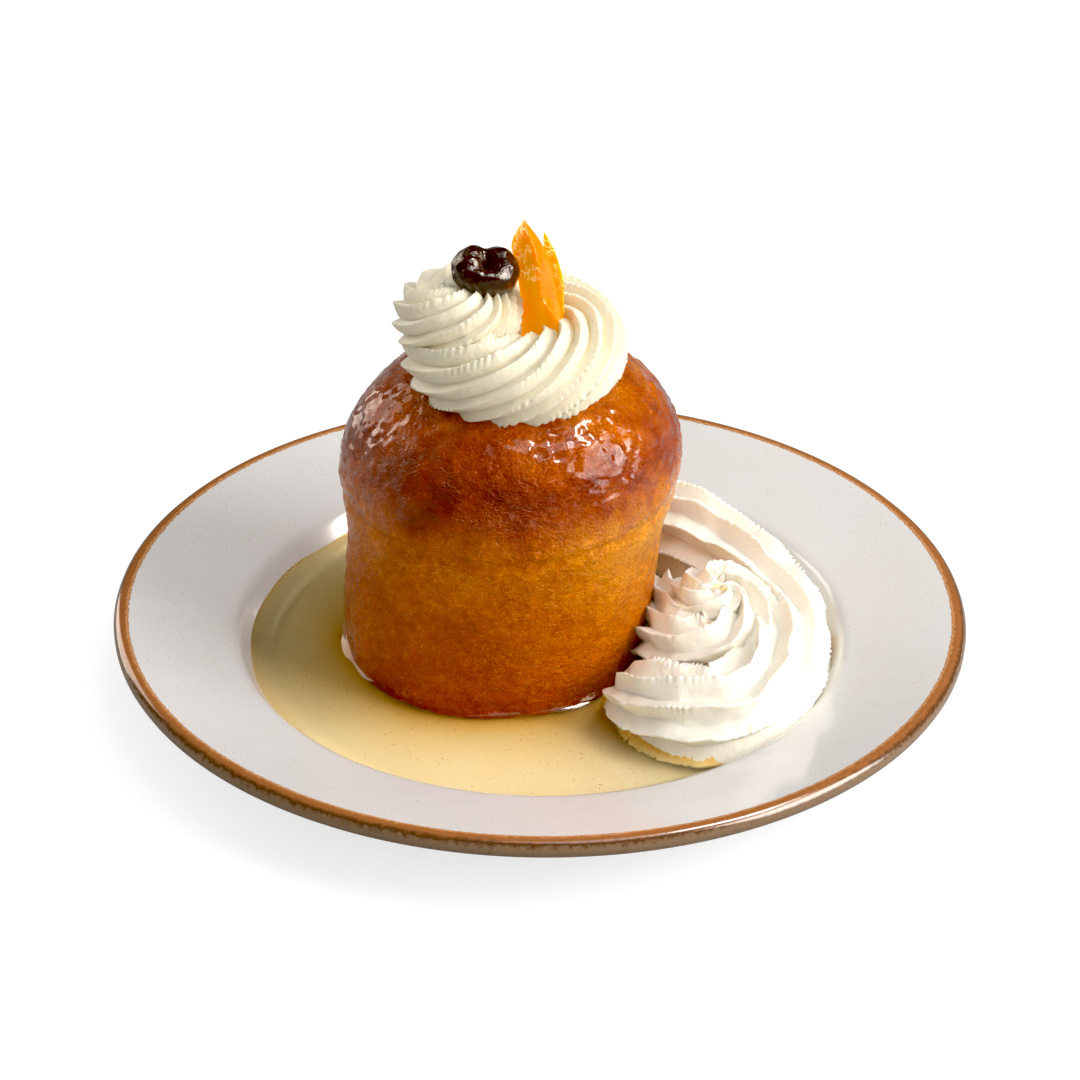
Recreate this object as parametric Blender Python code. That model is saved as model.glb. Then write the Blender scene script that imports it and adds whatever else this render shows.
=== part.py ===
"""A rum baba in its pool of syrup on a wide-rimmed stoneware plate.

The cake wears a piped swirl of whipped cream with a cherry and two wedges of candied fruit, and a
second, taller swirl stands beside it in the well of the plate.
Metres, +Z up. The origin is under the middle of the plate, on the table. The eater sits at -Y.
"""

import math

import bmesh
import bpy
import numpy as np
from mathutils import Vector, noise

MM = 0.001
GAP = 0.3 * MM  # left between pieces that touch
SHARP_ANGLE = math.radians(50)

# Plate, as radius and height
PLATE_RADIUS = 120.0 * MM
FLOOR_HEIGHT = 6.0 * MM
WALL_FOOT_RADIUS = 78.9 * MM  # where the wall's line would meet the floor
WALL_SLOPE = math.radians(55.0)
FLOOR_FILLET = 9.0 * MM
LIP_FILLET = 5.0 * MM
RIM_SLOPE = math.radians(14.5)
RIM_EDGE_RADIUS = 2.7 * MM  # the rolled edge's own radius
RIM_EDGE_HEIGHT = 21.1 * MM  # its centre
RIM_EDGE_END = math.radians(-80)  # where the rolled edge turns into the underside
FOOT_OUTER_RADIUS = 68.0 * MM
FOOT_INNER_RADIUS = 64.0 * MM
FOOT_DRAFT = 2.0 * MM
UNDERSIDE_HEIGHT = 1.8 * MM
WALL_THICKNESS = 4.4 * MM
PLATE_SEGMENTS = 60
FILLET_POINTS = 4
EDGE_POINTS = 7

# Syrup in the well
SYRUP_LEVEL = 9.3 * MM
SYRUP_SEGMENTS = 44

# Cake: it leans a little to the right, and its head has swollen over the mould
CAKE_FOOT = Vector((-12.8 * MM, 2.1 * MM, FLOOR_HEIGHT + GAP))
CAKE_CROWN = Vector((-6.3 * MM, 2.1 * MM, 98.7 * MM))
CAKE_FOOT_RADIUS = 41.9 * MM
CAKE_MOULD_RADIUS = 42.8 * MM
CAKE_COLLAR_RADIUS = 44.3 * MM
CAKE_HEAD_RADIUS = 46.8 * MM
CAKE_MOULD_HEIGHT = 28.0 * MM
CAKE_COLLAR_HEIGHT = 46.0 * MM
CAKE_HEAD_HEIGHT = 66.7 * MM
CAKE_FOOT_ROUNDING = 4.0 * MM
CAKE_HEAD_SQUARENESS = 2.6  # 2 would make the head an ellipsoid
CREASE_HEIGHT = 60.0 * MM  # where the dough rose over its mould
CREASE_CLIMB = 4.0 * MM
CREASE_DEPTH = 0.9 * MM
CREASE_WIDTH = 2.2 * MM
SWELL_DEPTH = 1.0 * MM
SWELL_LENGTH = 45.0 * MM
SWELL_TURNS = 1.7
CAKE_SEGMENTS = 40
CAKE_SIDE_RINGS = 12
CAKE_HEAD_RINGS = 8

# Piping from a star nozzle
TOP_RIDGES = 12
SIDE_RIDGES = 10
RIDGE_DEPTH = 0.25  # share of the rope's radius
RIDGE_SHARPNESS = 1.4
POINTS_A_RIDGE = 2
ROPE_STEP = 4.5 * MM
ROPE_START_ROUNDING = 8.0 * MM
ROPE_END_ROUNDING = 6.0 * MM
ROPE_JOINT_ROUNDING = 2.0 * MM
BLUNTNESS = 0.02  # how far along its rounding a rope's end starts
INNER_ROOM = 0.9  # share of a bend's radius that a rope may fill
CURVE_SAMPLES = 600

# One entry for each station of the rope on the cake, in millimetres and degrees:
# bearing, the coil's radius there, right, back and height of the coil's own centre, the rope's
# radius, and how far its ridges have turned about it
TOP_STATIONS = (
    (160.0, 18.0, -7.5, 0.0, 102.5, 8.0, -100.0),
    (180.0, 19.0, -7.5, 0.0, 103.5, 11.6, -84.0),
    (205.0, 19.8, -7.5, -0.5, 103.8, 12.2, -60.0),
    (235.0, 19.8, -7.5, -1.0, 103.8, 12.4, -30.0),
    (270.0, 19.4, -7.5, -1.2, 103.8, 12.6, 23.0),
    (300.0, 18.8, -7.5, -0.8, 104.0, 12.6, 73.0),
    (336.0, 18.4, -7.5, 0.0, 104.3, 12.4, 121.0),
    (366.0, 18.2, -7.5, 0.0, 105.0, 12.2, 148.0),
    (440.0, 16.5, -8.5, 0.5, 107.0, 12.0, 222.0),
    (500.0, 12.5, -15.5, 0.0, 111.5, 11.6, 285.0),
    (560.0, 9.5, -21.0, -1.0, 113.5, 10.9, 330.0),
    (596.0, 9.2, -21.0, -1.0, 114.0, 10.9, 363.0),
    (636.0, 8.8, -21.0, -1.0, 114.6, 10.7, 398.0),
    (660.0, 8.6, -21.0, -1.0, 115.0, 9.9, 424.0),
    (696.0, 8.0, -21.2, -1.0, 115.5, 8.7, 485.0),
    (740.0, 7.3, -21.2, -0.5, 116.0, 8.2, 530.0),
    (810.0, 6.4, -20.6, 0.0, 117.0, 7.6, 600.0),
)

# One entry for each station of the two ropes in the well, in millimetres and degrees:
# right, back, height, the rope's radius, and how far its ridges have turned about it
RING_STATIONS = (
    (23.0, -31.0, 15.0, 7.0, -20.0),
    (27.0, -37.5, 16.0, 11.5, -14.0),
    (34.5, -44.5, 17.2, 13.8, -6.0),
    (47.0, -47.5, 17.5, 15.0, 4.0),
    (60.0, -38.0, 17.5, 15.0, 22.0),
    (66.8, -15.0, 17.5, 15.0, 50.0),
    (64.0, 6.0, 17.5, 15.0, 70.0),
    (54.0, 29.0, 18.5, 15.0, 92.0),
    (38.5, 47.0, 20.0, 14.5, 112.0),
    (20.0, 56.0, 20.0, 12.0, 132.0),
    (8.0, 59.0, 18.0, 8.0, 145.0),
)
PEAK_STATIONS = (
    (38.0, 24.0, 12.5, 6.0, 0.0),
    (36.5, 12.0, 15.5, 9.0, 20.0),
    (36.0, -4.0, 18.5, 11.0, 40.0),
    (38.0, -19.0, 20.5, 12.0, 70.0),
    (47.0, -25.0, 21.5, 12.4, 110.0),
    (55.0, -18.0, 22.8, 12.0, 150.0),
    (55.0, -6.5, 24.4, 11.4, 190.0),
    (50.0, -2.0, 26.0, 10.5, 230.0),
    (45.0, -5.0, 27.6, 9.6, 270.0),
    (45.0, -11.5, 28.4, 8.8, 310.0),
    (49.5, -13.0, 29.4, 7.8, 350.0),
    (51.0, -9.5, 30.4, 6.6, 390.0),
    (48.5, -8.5, 31.6, 5.2, 430.0),
)

# What fills the middle of each coil: right, back, height and radius of its foot and of its top
TOP_CORE = ((-7.5, -0.5, 98.0, 11.0), (-20.0, -1.0, 119.5, 5.5))
PEAK_CORE = ((47.0, -13.0, 7.0, 17.0), (47.5, -9.0, 31.5, 4.5))
CORE_SEGMENTS = 14

# Cherry
CHERRY_CENTRE = Vector((-15.6 * MM, -3.0 * MM, 127.8 * MM))
CHERRY_HALF_SIZE = Vector((9.1 * MM, 7.6 * MM, 7.5 * MM))
CHERRY_DENT_WAY = Vector((0.14, -0.50, 0.84))
CHERRY_DENT_SPREAD = Vector((0.40, 0.50, 0.45))
CHERRY_DENT_DEPTH = 0.62
CHERRY_CLEFT_DEPTH = 0.16  # between the two lobes, over the top
CHERRY_CLEFT_WIDTH = 0.28
CHERRY_CLEFT_START = 0.3  # share of the way up where it begins
CHERRY_CLEFT_END = 0.8  # where it is as deep as it gets
CHERRY_WRINKLE = 0.06
CHERRY_RINGS = 12
CHERRY_SEGMENTS = 24

# Stations up the three edges of each wedge, in millimetres, from its foot in the cream to its tip
FRONT_WEDGE_LEFT = (
    (-6.4, -4.4, 105.0), (-6.2, -3.6, 112.5), (-6.6, -0.6, 120.0),
    (-8.2, 1.8, 128.5), (-8.9, 1.2, 134.3), (-5.75, -4.0, 143.2),
)
FRONT_WEDGE_CREST = (
    (6.0, -10.0, 105.0), (4.8, -9.5, 114.0), (-0.1, -9.0, 122.5),
    (-1.3, -8.6, 131.0), (-3.0, -7.0, 137.0), (-5.55, -4.5, 143.6),
)
FRONT_WEDGE_RIGHT = (
    (6.2, -3.2, 105.0), (5.2, -3.3, 113.5), (3.5, -3.4, 121.5),
    (1.8, -3.3, 129.5), (-0.7, -3.2, 136.3), (-5.2, -4.0, 143.3),
)
BACK_WEDGE_LEFT = (
    (1.5, -0.8, 105.0), (0.8, -0.6, 115.0), (0.3, -0.4, 124.0), (-0.3, -0.2, 132.5), (-0.2, -0.8, 138.3),
)
BACK_WEDGE_FRONT = (
    (5.6, -1.8, 105.0), (5.5, -1.8, 116.0), (5.2, -1.8, 125.0), (2.8, -1.8, 133.2), (0.1, -1.3, 138.5),
)
BACK_WEDGE_REAR = (
    (3.5, 4.0, 105.0), (2.8, 4.0, 115.0), (2.2, 4.0, 124.0), (0.9, 3.0, 131.5), (-0.1, -0.6, 138.2),
)
FRONT_WEDGE_EDGES = (FRONT_WEDGE_LEFT, FRONT_WEDGE_CREST, FRONT_WEDGE_RIGHT)
BACK_WEDGE_EDGES = (BACK_WEDGE_LEFT, BACK_WEDGE_FRONT, BACK_WEDGE_REAR)
WEDGE_RINGS = 9
WEDGE_BULGE = 0.06  # how far each face swells, as a share of its distance from the middle


def material(name, colour, roughness, metallic=0.0):
    """A Principled material of that colour, roughness and metallic value."""
    made = bpy.data.materials.new(name)
    made.use_nodes = True
    shader = made.node_tree.nodes["Principled BSDF"]
    shader.inputs["Base Color"].default_value = (*colour, 1.0)
    shader.inputs["Roughness"].default_value = roughness
    shader.inputs["Metallic"].default_value = metallic
    return made


def mesh_object(name, shell, finish=None):
    """A named object from a bmesh, its faces turned outward and its smooth parts shaded smooth."""
    bmesh.ops.recalc_face_normals(shell, faces=shell.faces)
    mesh = bpy.data.meshes.new(name)
    shell.to_mesh(mesh)
    shell.free()
    mesh.shade_smooth()
    mesh.set_sharp_from_angle(angle=SHARP_ANGLE)
    obj = bpy.data.objects.new(name, mesh)
    bpy.context.scene.collection.objects.link(obj)
    if finish:
        mesh.materials.append(finish)
    return obj


def loft(name, rings, finish=None):
    """A closed body through rings of equal point counts, closed at each end by a fan."""
    shell = bmesh.new()
    rows = [[shell.verts.new(tuple(point)) for point in ring] for ring in rings]
    count = len(rows[0])
    for low, high in zip(rows, rows[1:]):
        for j in range(count):
            k = (j + 1) % count
            shell.faces.new((low[j], low[k], high[k], high[j]))
    for row in (rows[0], rows[-1]):
        middle = shell.verts.new(sum((v.co for v in row), Vector()) / count)
        for j in range(count):
            shell.faces.new((row[j], row[(j + 1) % count], middle))
    return mesh_object(name, shell, finish)


def turned(name, profile, segments, finish=None):
    """A body turned about the Z axis from (radius, height) points that start and end on the axis."""
    shell = bmesh.new()
    turns = np.linspace(0, 2 * math.pi, segments, endpoint=False)
    rows = []
    for radius, height in profile:
        if radius == 0:
            rows.append([shell.verts.new((0.0, 0.0, height))] * segments)
        else:
            ring = [(radius * math.cos(turn), radius * math.sin(turn), height) for turn in turns]
            rows.append([shell.verts.new(point) for point in ring])
    for low, high in zip(rows, rows[1:]):
        for j in range(segments):
            k = (j + 1) % segments
            shell.faces.new(list(dict.fromkeys((low[j], low[k], high[k], high[j]))))
    return mesh_object(name, shell, finish)


def fillet(before, corner, after, radius, count):
    """Points of an arc of that radius that rounds the corner between two straight runs."""
    before, corner, after = (np.asarray(p, float) for p in (before, corner, after))
    one = (before - corner) / np.linalg.norm(before - corner)
    two = (after - corner) / np.linalg.norm(after - corner)
    half = math.acos(float(one @ two)) / 2
    middle = corner + (one + two) / np.linalg.norm(one + two) * radius / math.sin(half)
    start = corner + one * radius / math.tan(half) - middle
    end = corner + two * radius / math.tan(half) - middle
    sweep = math.pi - 2 * half
    points = []
    for share in np.linspace(0, 1, count):
        a = math.sin((1 - share) * sweep) / math.sin(sweep)
        b = math.sin(share * sweep) / math.sin(sweep)
        points.append(tuple(middle + a * start + b * end))
    return points


def combine(target, others, operation):
    """Applies one Boolean of target with a collection of objects, and removes that collection."""
    group = bpy.data.collections.new(target.name + "_" + operation.lower())
    bpy.context.scene.collection.children.link(group)
    for other in others:
        bpy.context.scene.collection.objects.unlink(other)
        group.objects.link(other)
    join = target.modifiers.new(operation.title(), "BOOLEAN")
    join.operation = operation
    join.solver = "MANIFOLD"  # the exact one leaves the coil on the cake open
    join.operand_type = "COLLECTION"
    join.collection = group
    bpy.context.view_layer.update()
    for obj in bpy.context.selected_objects:
        obj.select_set(False)
    bpy.context.view_layer.objects.active = target
    target.select_set(True)
    bpy.ops.object.modifier_apply(modifier=join.name)
    for other in others:
        bpy.data.objects.remove(other)
    bpy.data.collections.remove(group)


def linked(start, left):
    """The faces joined to start across edges that only two faces share, taken out of left."""
    body, search = [], [start]
    left.discard(start)
    while search:
        face = search.pop()
        body.append(face)
        for edge in face.edges:
            if len(edge.link_faces) != 2:
                continue
            for other in edge.link_faces:
                if other in left:
                    left.discard(other)
                    search.append(other)
    return body


def keep_largest(obj):
    """Drops every scrap and flat flap that a cut left on the main body, and shades what stays."""
    shell = bmesh.new()
    shell.from_mesh(obj.data)
    bmesh.ops.triangulate(shell, faces=shell.faces)
    left = set(shell.faces)
    bodies = []
    while left:
        bodies.append(linked(next(iter(left)), left))
    bodies.sort(key=len)
    bmesh.ops.delete(shell, geom=[face for body in bodies[:-1] for face in body], context="FACES")
    shell.to_mesh(obj.data)
    shell.free()
    obj.data.shade_smooth()
    obj.data.set_sharp_from_angle(angle=SHARP_ANGLE)


def plate_profile(grow=0.0):
    """The plate's outline as (radius, height), from the middle of its floor out and back under.

    With grow, the upper surface stands that much proud, for cutting what lies on the plate.
    """
    floor = FLOOR_HEIGHT + grow
    wall_foot = (WALL_FOOT_RADIUS - grow * math.tan(WALL_SLOPE / 2), floor)
    edge_centre = (PLATE_RADIUS - RIM_EDGE_RADIUS, RIM_EDGE_HEIGHT)
    edge = RIM_EDGE_RADIUS + grow
    edge_start = math.pi / 2 + RIM_SLOPE
    rim_end = (
        edge_centre[0] + edge * math.cos(edge_start),
        edge_centre[1] + edge * math.sin(edge_start),
    )
    rise = rim_end[1] - wall_foot[1] - (rim_end[0] - wall_foot[0]) * math.tan(RIM_SLOPE)
    run = rise / (math.tan(WALL_SLOPE) - math.tan(RIM_SLOPE))
    lip = (wall_foot[0] + run, wall_foot[1] + run * math.tan(WALL_SLOPE))
    points = [(0.0, floor)]
    points += fillet((0.0, floor), wall_foot, lip, FLOOR_FILLET, FILLET_POINTS)
    points += fillet(wall_foot, lip, rim_end, LIP_FILLET, FILLET_POINTS)
    for turn in np.linspace(edge_start, RIM_EDGE_END, EDGE_POINTS):
        points.append((edge_centre[0] + edge * math.cos(turn), edge_centre[1] + edge * math.sin(turn)))
    points += [
        (lip[0] + WALL_THICKNESS, lip[1] - WALL_THICKNESS),
        (FOOT_OUTER_RADIUS + FOOT_DRAFT, UNDERSIDE_HEIGHT),
        (FOOT_OUTER_RADIUS, 0.0),
        (FOOT_INNER_RADIUS, 0.0),
        (FOOT_INNER_RADIUS - FOOT_DRAFT, UNDERSIDE_HEIGHT),
        (0.0, UNDERSIDE_HEIGHT),
    ]
    return points


def smooth_step(low, high, value):
    """0 below low, 1 above high, and an even S-curve between."""
    share = min(1.0, max(0.0, (value - low) / (high - low)))
    return share * share * (3 - 2 * share)


def cake_radius(height, bearing):
    """The cake's radius about its leaning axis, at a height above the table and a bearing."""
    foot, head = CAKE_FOOT.z, CAKE_HEAD_HEIGHT
    radius = CAKE_FOOT_RADIUS
    radius += (CAKE_MOULD_RADIUS - CAKE_FOOT_RADIUS) * smooth_step(foot, CAKE_MOULD_HEIGHT, height)
    radius += (CAKE_COLLAR_RADIUS - CAKE_MOULD_RADIUS) * smooth_step(foot, CAKE_COLLAR_HEIGHT, height)
    radius += (CAKE_HEAD_RADIUS - CAKE_COLLAR_RADIUS) * smooth_step(CAKE_COLLAR_HEIGHT, head, height)
    above_foot = (height - foot) / CAKE_FOOT_ROUNDING
    if above_foot < 1:
        radius -= CAKE_FOOT_ROUNDING * (1 - math.sqrt(1 - (1 - above_foot) ** 2))
    if height > head:
        share = min(1.0, (height - head) / (CAKE_CROWN.z - head))
        radius *= (1 - share**CAKE_HEAD_SQUARENESS) ** (1 / CAKE_HEAD_SQUARENESS)
    crease = CREASE_HEIGHT + CREASE_CLIMB * max(0.0, math.cos(bearing))
    return radius - CREASE_DEPTH * math.exp(-(((height - crease) / CREASE_WIDTH) ** 2))


def cake_point(height, bearing, grow=0.0):
    """A point of the cake's side, moved out by grow, with its uneven relief."""
    axis = CAKE_FOOT.lerp(CAKE_CROWN, (height - CAKE_FOOT.z) / (CAKE_CROWN.z - CAKE_FOOT.z))
    radius = cake_radius(height, bearing)
    out = Vector((math.cos(bearing), math.sin(bearing), 0.0))
    swell = noise.noise(Vector((out.x, out.y, height / SWELL_LENGTH)) * SWELL_TURNS)
    radius += swell * SWELL_DEPTH * radius / CAKE_HEAD_RADIUS
    return Vector((axis.x, axis.y, height)) + out * (radius + grow)


def cake_rings(grow=0.0):
    """Rings of the cake from its foot to its crown, moved out by grow."""
    heights = [CAKE_FOOT.z + share * CAKE_FOOT_ROUNDING for share in (0.0, 0.25, 0.6)]
    heights += list(np.linspace(CAKE_FOOT.z + CAKE_FOOT_ROUNDING, CAKE_HEAD_HEIGHT, CAKE_SIDE_RINGS))
    tall = CAKE_CROWN.z - CAKE_HEAD_HEIGHT
    heights += [CAKE_HEAD_HEIGHT + tall * math.sin(turn) for turn in np.linspace(0.2, 1.48, CAKE_HEAD_RINGS)]
    bearings = np.linspace(0, 2 * math.pi, CAKE_SEGMENTS, endpoint=False)
    rings = []
    for height in heights:
        lift = grow * smooth_step(CAKE_HEAD_HEIGHT, CAKE_CROWN.z, height)
        if height == CAKE_FOOT.z:
            lift = -grow
        rings.append([cake_point(height, bearing, grow) + Vector((0, 0, lift)) for bearing in bearings])
    return rings


def through(stations, count):
    """A smooth curve, as an array of count rows, through stations at even parameter steps."""
    rows = np.asarray(stations, float)
    rows = np.vstack([2 * rows[0] - rows[1], rows, 2 * rows[-1] - rows[-2]])
    made = []
    for share in np.linspace(0, len(stations) - 1, count):
        i = min(int(share), len(stations) - 2)
        t = share - i
        a, b, c, d = rows[i : i + 4]
        made.append(b + 0.5 * t * (c - a + t * (2 * a - 5 * b + 4 * c - d + t * (3 * b - 3 * c + d - a))))
    return np.array(made)


def evenly(curve, step):
    """The rows of a curve, picked again at about that step of length."""
    lengths = np.r_[0, np.cumsum(np.linalg.norm(np.diff(curve[:, :3], axis=0), axis=1))]
    wanted = np.linspace(0, lengths[-1], round(lengths[-1] / step))
    return np.column_stack([np.interp(wanted, lengths, column) for column in curve.T])


def top_curve(step):
    """The rope on the cake as rows of (x, y, z, radius, turn), in metres and radians."""
    bearing, spread, right, back, height, radius, turn = through(TOP_STATIONS, CURVE_SAMPLES).T
    bearing = np.radians(bearing)
    x = right + spread * np.cos(bearing)
    y = back + spread * np.sin(bearing)
    return evenly(np.column_stack([x * MM, y * MM, height * MM, radius * MM, np.radians(turn)]), step)


def well_curve(stations, step):
    """A rope in the well as rows of (x, y, z, radius, turn), in metres and radians."""
    rows = through(stations, CURVE_SAMPLES)
    return evenly(np.column_stack([rows[:, :4] * MM, np.radians(rows[:, 4])]), step)


def star(turns, ridges):
    """The nozzle's outline at those turns: 1 at a ridge, and 0 in the middle of a groove."""
    share = np.abs(2 * ((ridges * turns / (2 * math.pi) + 0.5) % 1.0) - 1)
    return (1 - share) ** RIDGE_SHARPNESS


def rope_rings(curve, ridges, start_rounding, end_rounding, depth=RIDGE_DEPTH):
    """Rings of a piped rope along rows of (x, y, z, radius, turn of its ridges).

    The inner side is narrowed where the bend is so tight that it would cross the bend's centre.
    """
    places, radii, twists = curve[:, :3], curve[:, 3], curve[:, 4]
    tangents = np.gradient(places, axis=0)
    tangents /= np.linalg.norm(tangents, axis=1)[:, None]
    headings = np.unwrap(np.arctan2(tangents[:, 1], tangents[:, 0]))
    lengths = np.r_[0, np.cumsum(np.linalg.norm(np.diff(places, axis=0), axis=1))]
    bends = np.gradient(headings) / np.gradient(lengths)
    turns = np.linspace(0, 2 * math.pi, ridges * POINTS_A_RIDGE, endpoint=False)
    rings = []
    for i, place in enumerate(places):
        side = np.array([tangents[i, 1], -tangents[i, 0], 0.0])
        side /= np.linalg.norm(side)
        above = np.cross(side, tangents[i])
        ends = 1.0
        for run, rounding in ((lengths[i], start_rounding), (lengths[-1] - lengths[i], end_rounding)):
            share = min(1.0, run / rounding + BLUNTNESS)
            ends *= math.sqrt(1 - (1 - share) ** 2)
        radius = radii[i] * ends * (1 - depth * (1 - star(turns, ridges)))
        across = np.cos(turns + twists[i])
        upward = np.sin(turns + twists[i])
        if bends[i] * radii[i] > INNER_ROOM:
            across = np.where(across < 0, across * INNER_ROOM / (bends[i] * radii[i]), across)
        rings.append(place + (radius * across)[:, None] * side + (radius * upward)[:, None] * above)
    return rings


def rope_pieces(name, curve, ridges, count, finish=None, grow=0.0):
    """Closed bodies along a rope, short enough that none meets itself, which overlap end to end.

    With grow they are smooth tubes that stand that far outside the rope's ridges.
    """
    edges = np.linspace(0, len(curve), count + 1).astype(int)
    made = []
    for i, (start, end) in enumerate(zip(edges, edges[1:])):
        piece = curve[max(0, start - 2) : end + 2].copy()
        piece[:, 3] += grow
        rings = rope_rings(
            piece,
            ridges,
            ROPE_START_ROUNDING if i == 0 else ROPE_JOINT_ROUNDING,
            ROPE_END_ROUNDING if i == count - 1 else ROPE_JOINT_ROUNDING,
            depth=0.0 if grow else RIDGE_DEPTH,
        )
        made.append(loft(f"{name}_{i}", rings, finish))
    return made


def core(name, ends, finish=None, grow=0.0):
    """The cone of cream inside a coil, between a foot and a top of (right, back, height, radius)."""
    rings = []
    for right, back, height, radius in np.array(ends) * MM:
        turns = np.linspace(0, 2 * math.pi, CORE_SEGMENTS, endpoint=False)
        reach = radius + grow
        rings.append([(right + reach * math.cos(t), back + reach * math.sin(t), height) for t in turns])
    return loft(name, rings, finish)


def cherry_rings(grow=0.0):
    """Rings of the cherry from below to its top, sunk in where its stone was and cleft in two lobes."""
    half = CHERRY_HALF_SIZE + Vector((grow, grow, grow))
    rings = []
    for fall in np.linspace(math.radians(9), math.radians(171), CHERRY_RINGS):
        ring = []
        for turn in np.linspace(0, 2 * math.pi, CHERRY_SEGMENTS, endpoint=False):
            way = Vector((math.sin(fall) * math.cos(turn), math.sin(fall) * math.sin(turn), -math.cos(fall)))
            off = way - CHERRY_DENT_WAY
            apart = sum((off[k] / CHERRY_DENT_SPREAD[k]) ** 2 for k in range(3))
            size = 1 - CHERRY_DENT_DEPTH * math.exp(-apart) + CHERRY_WRINKLE * noise.noise(way * 3)
            risen = smooth_step(CHERRY_CLEFT_START, CHERRY_CLEFT_END, way.z)
            size -= CHERRY_CLEFT_DEPTH * risen * math.exp(-((way.x / CHERRY_CLEFT_WIDTH) ** 2))
            ring.append(CHERRY_CENTRE + way * half * size)
        rings.append(ring)
    return rings


def wedge_rings(edges, grow=0.0):
    """Rings of a wedge of fruit up its three edges, each face a little swollen."""
    curves = [through(edge, WEDGE_RINGS) * MM for edge in edges]
    rings = []
    for corners in zip(*curves):
        middle = sum(corners) / len(corners)
        ring = []
        for corner, following in zip(corners, corners[1:] + corners[:1]):
            halfway = (corner + following) / 2
            ring += [corner, halfway + (halfway - middle) * WEDGE_BULGE]
        rings.append([Vector(point) + Vector(point - middle).normalized() * grow for point in ring])
    return rings


def make_top_cream(finish):
    """The swirl on the cake: a full turn, then a smaller turn that climbs to the left."""
    ropes = rope_pieces("top_rope", top_curve(ROPE_STEP), TOP_RIDGES, 3, finish)
    cream = ropes[0]
    cream.name = "cream_top"
    combine(cream, ropes[1:] + [core("top_core", TOP_CORE, finish)], "UNION")
    cutters = [
        loft("cake_cutter", cake_rings(GAP)),
        loft("cherry_cutter", cherry_rings(GAP)),
        loft("front_wedge_cutter", wedge_rings(FRONT_WEDGE_EDGES, GAP)),
        loft("back_wedge_cutter", wedge_rings(BACK_WEDGE_EDGES, GAP)),
    ]
    combine(cream, cutters, "DIFFERENCE")
    keep_largest(cream)


def make_side_cream(finish):
    """The swirl in the well: a rope round the right of the well, and a peak that rises on it."""
    ropes = rope_pieces("ring_rope", well_curve(RING_STATIONS, ROPE_STEP), SIDE_RIDGES, 2, finish)
    ropes += rope_pieces("peak_rope", well_curve(PEAK_STATIONS, ROPE_STEP), SIDE_RIDGES, 3, finish)
    cream = ropes[0]
    cream.name = "cream_side"
    combine(cream, ropes[1:] + [core("peak_core", PEAK_CORE, finish)], "UNION")
    cutters = [
        loft("cake_cutter", cake_rings(GAP)),
        turned("plate_cutter", plate_profile(GAP), PLATE_SEGMENTS),
    ]
    combine(cream, cutters, "DIFFERENCE")
    keep_largest(cream)


def make_syrup(finish):
    """The pool of syrup: level on top, and cut round the cake and round the cream's ridges."""
    profile = [(radius, height) for radius, height in plate_profile(GAP) if height > UNDERSIDE_HEIGHT]
    below = [point for point in profile if point[1] < SYRUP_LEVEL]
    above = profile[len(below)]
    share = (SYRUP_LEVEL - below[-1][1]) / (above[1] - below[-1][1])
    shore = below[-1][0] + share * (above[0] - below[-1][0])
    pool = turned("syrup", below + [(shore, SYRUP_LEVEL), (0.0, SYRUP_LEVEL)], SYRUP_SEGMENTS, finish)
    cutters = [loft("cake_cutter", cake_rings(GAP)), core("core_cutter", PEAK_CORE, grow=2 * GAP)]
    cutters += rope_pieces("ring_cutter", well_curve(RING_STATIONS, ROPE_STEP), SIDE_RIDGES, 2, grow=GAP)
    cutters += rope_pieces("peak_cutter", well_curve(PEAK_STATIONS, ROPE_STEP), SIDE_RIDGES, 3, grow=GAP)
    combine(pool, cutters, "DIFFERENCE")
    keep_largest(pool)


def main():
    """Builds every piece of the baba on its plate."""
    for obj in list(bpy.data.objects):
        bpy.data.objects.remove(obj)
    turned("plate", plate_profile(), PLATE_SEGMENTS, material("stoneware", (0.80, 0.78, 0.75), 0.2))
    loft("baba", cake_rings(), material("soaked_crust", (0.48, 0.16, 0.02), 0.3))
    whipped = material("whipped_cream", (0.92, 0.88, 0.76), 0.5)
    make_top_cream(whipped)
    make_side_cream(whipped)
    loft("cherry", cherry_rings(), material("cherry_flesh", (0.05, 0.004, 0.006), 0.1))
    candied = material("candied_fruit", (0.90, 0.38, 0.02), 0.2)
    loft("fruit_wedge_front", wedge_rings(FRONT_WEDGE_EDGES), candied)
    loft("fruit_wedge_back", wedge_rings(BACK_WEDGE_EDGES), candied)
    make_syrup(material("clear_syrup", (0.80, 0.52, 0.10), 0.05))


main()
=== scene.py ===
"""The looks of a rum baba on its plate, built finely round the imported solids.

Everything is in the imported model's frame: metres, +Z up, the middle of the plate's foot at the
origin, the eater at -Y. The same sizes as in the solids' source shape each piece here, with the
fine relief, the finishes, the light and the camera added.
"""

import logging
import math
from collections.abc import Callable
from dataclasses import dataclass, field
from enum import Enum
from itertools import product

import bmesh
import bpy
import numpy as np
from mathutils import Matrix, Vector, kdtree, noise

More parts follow.
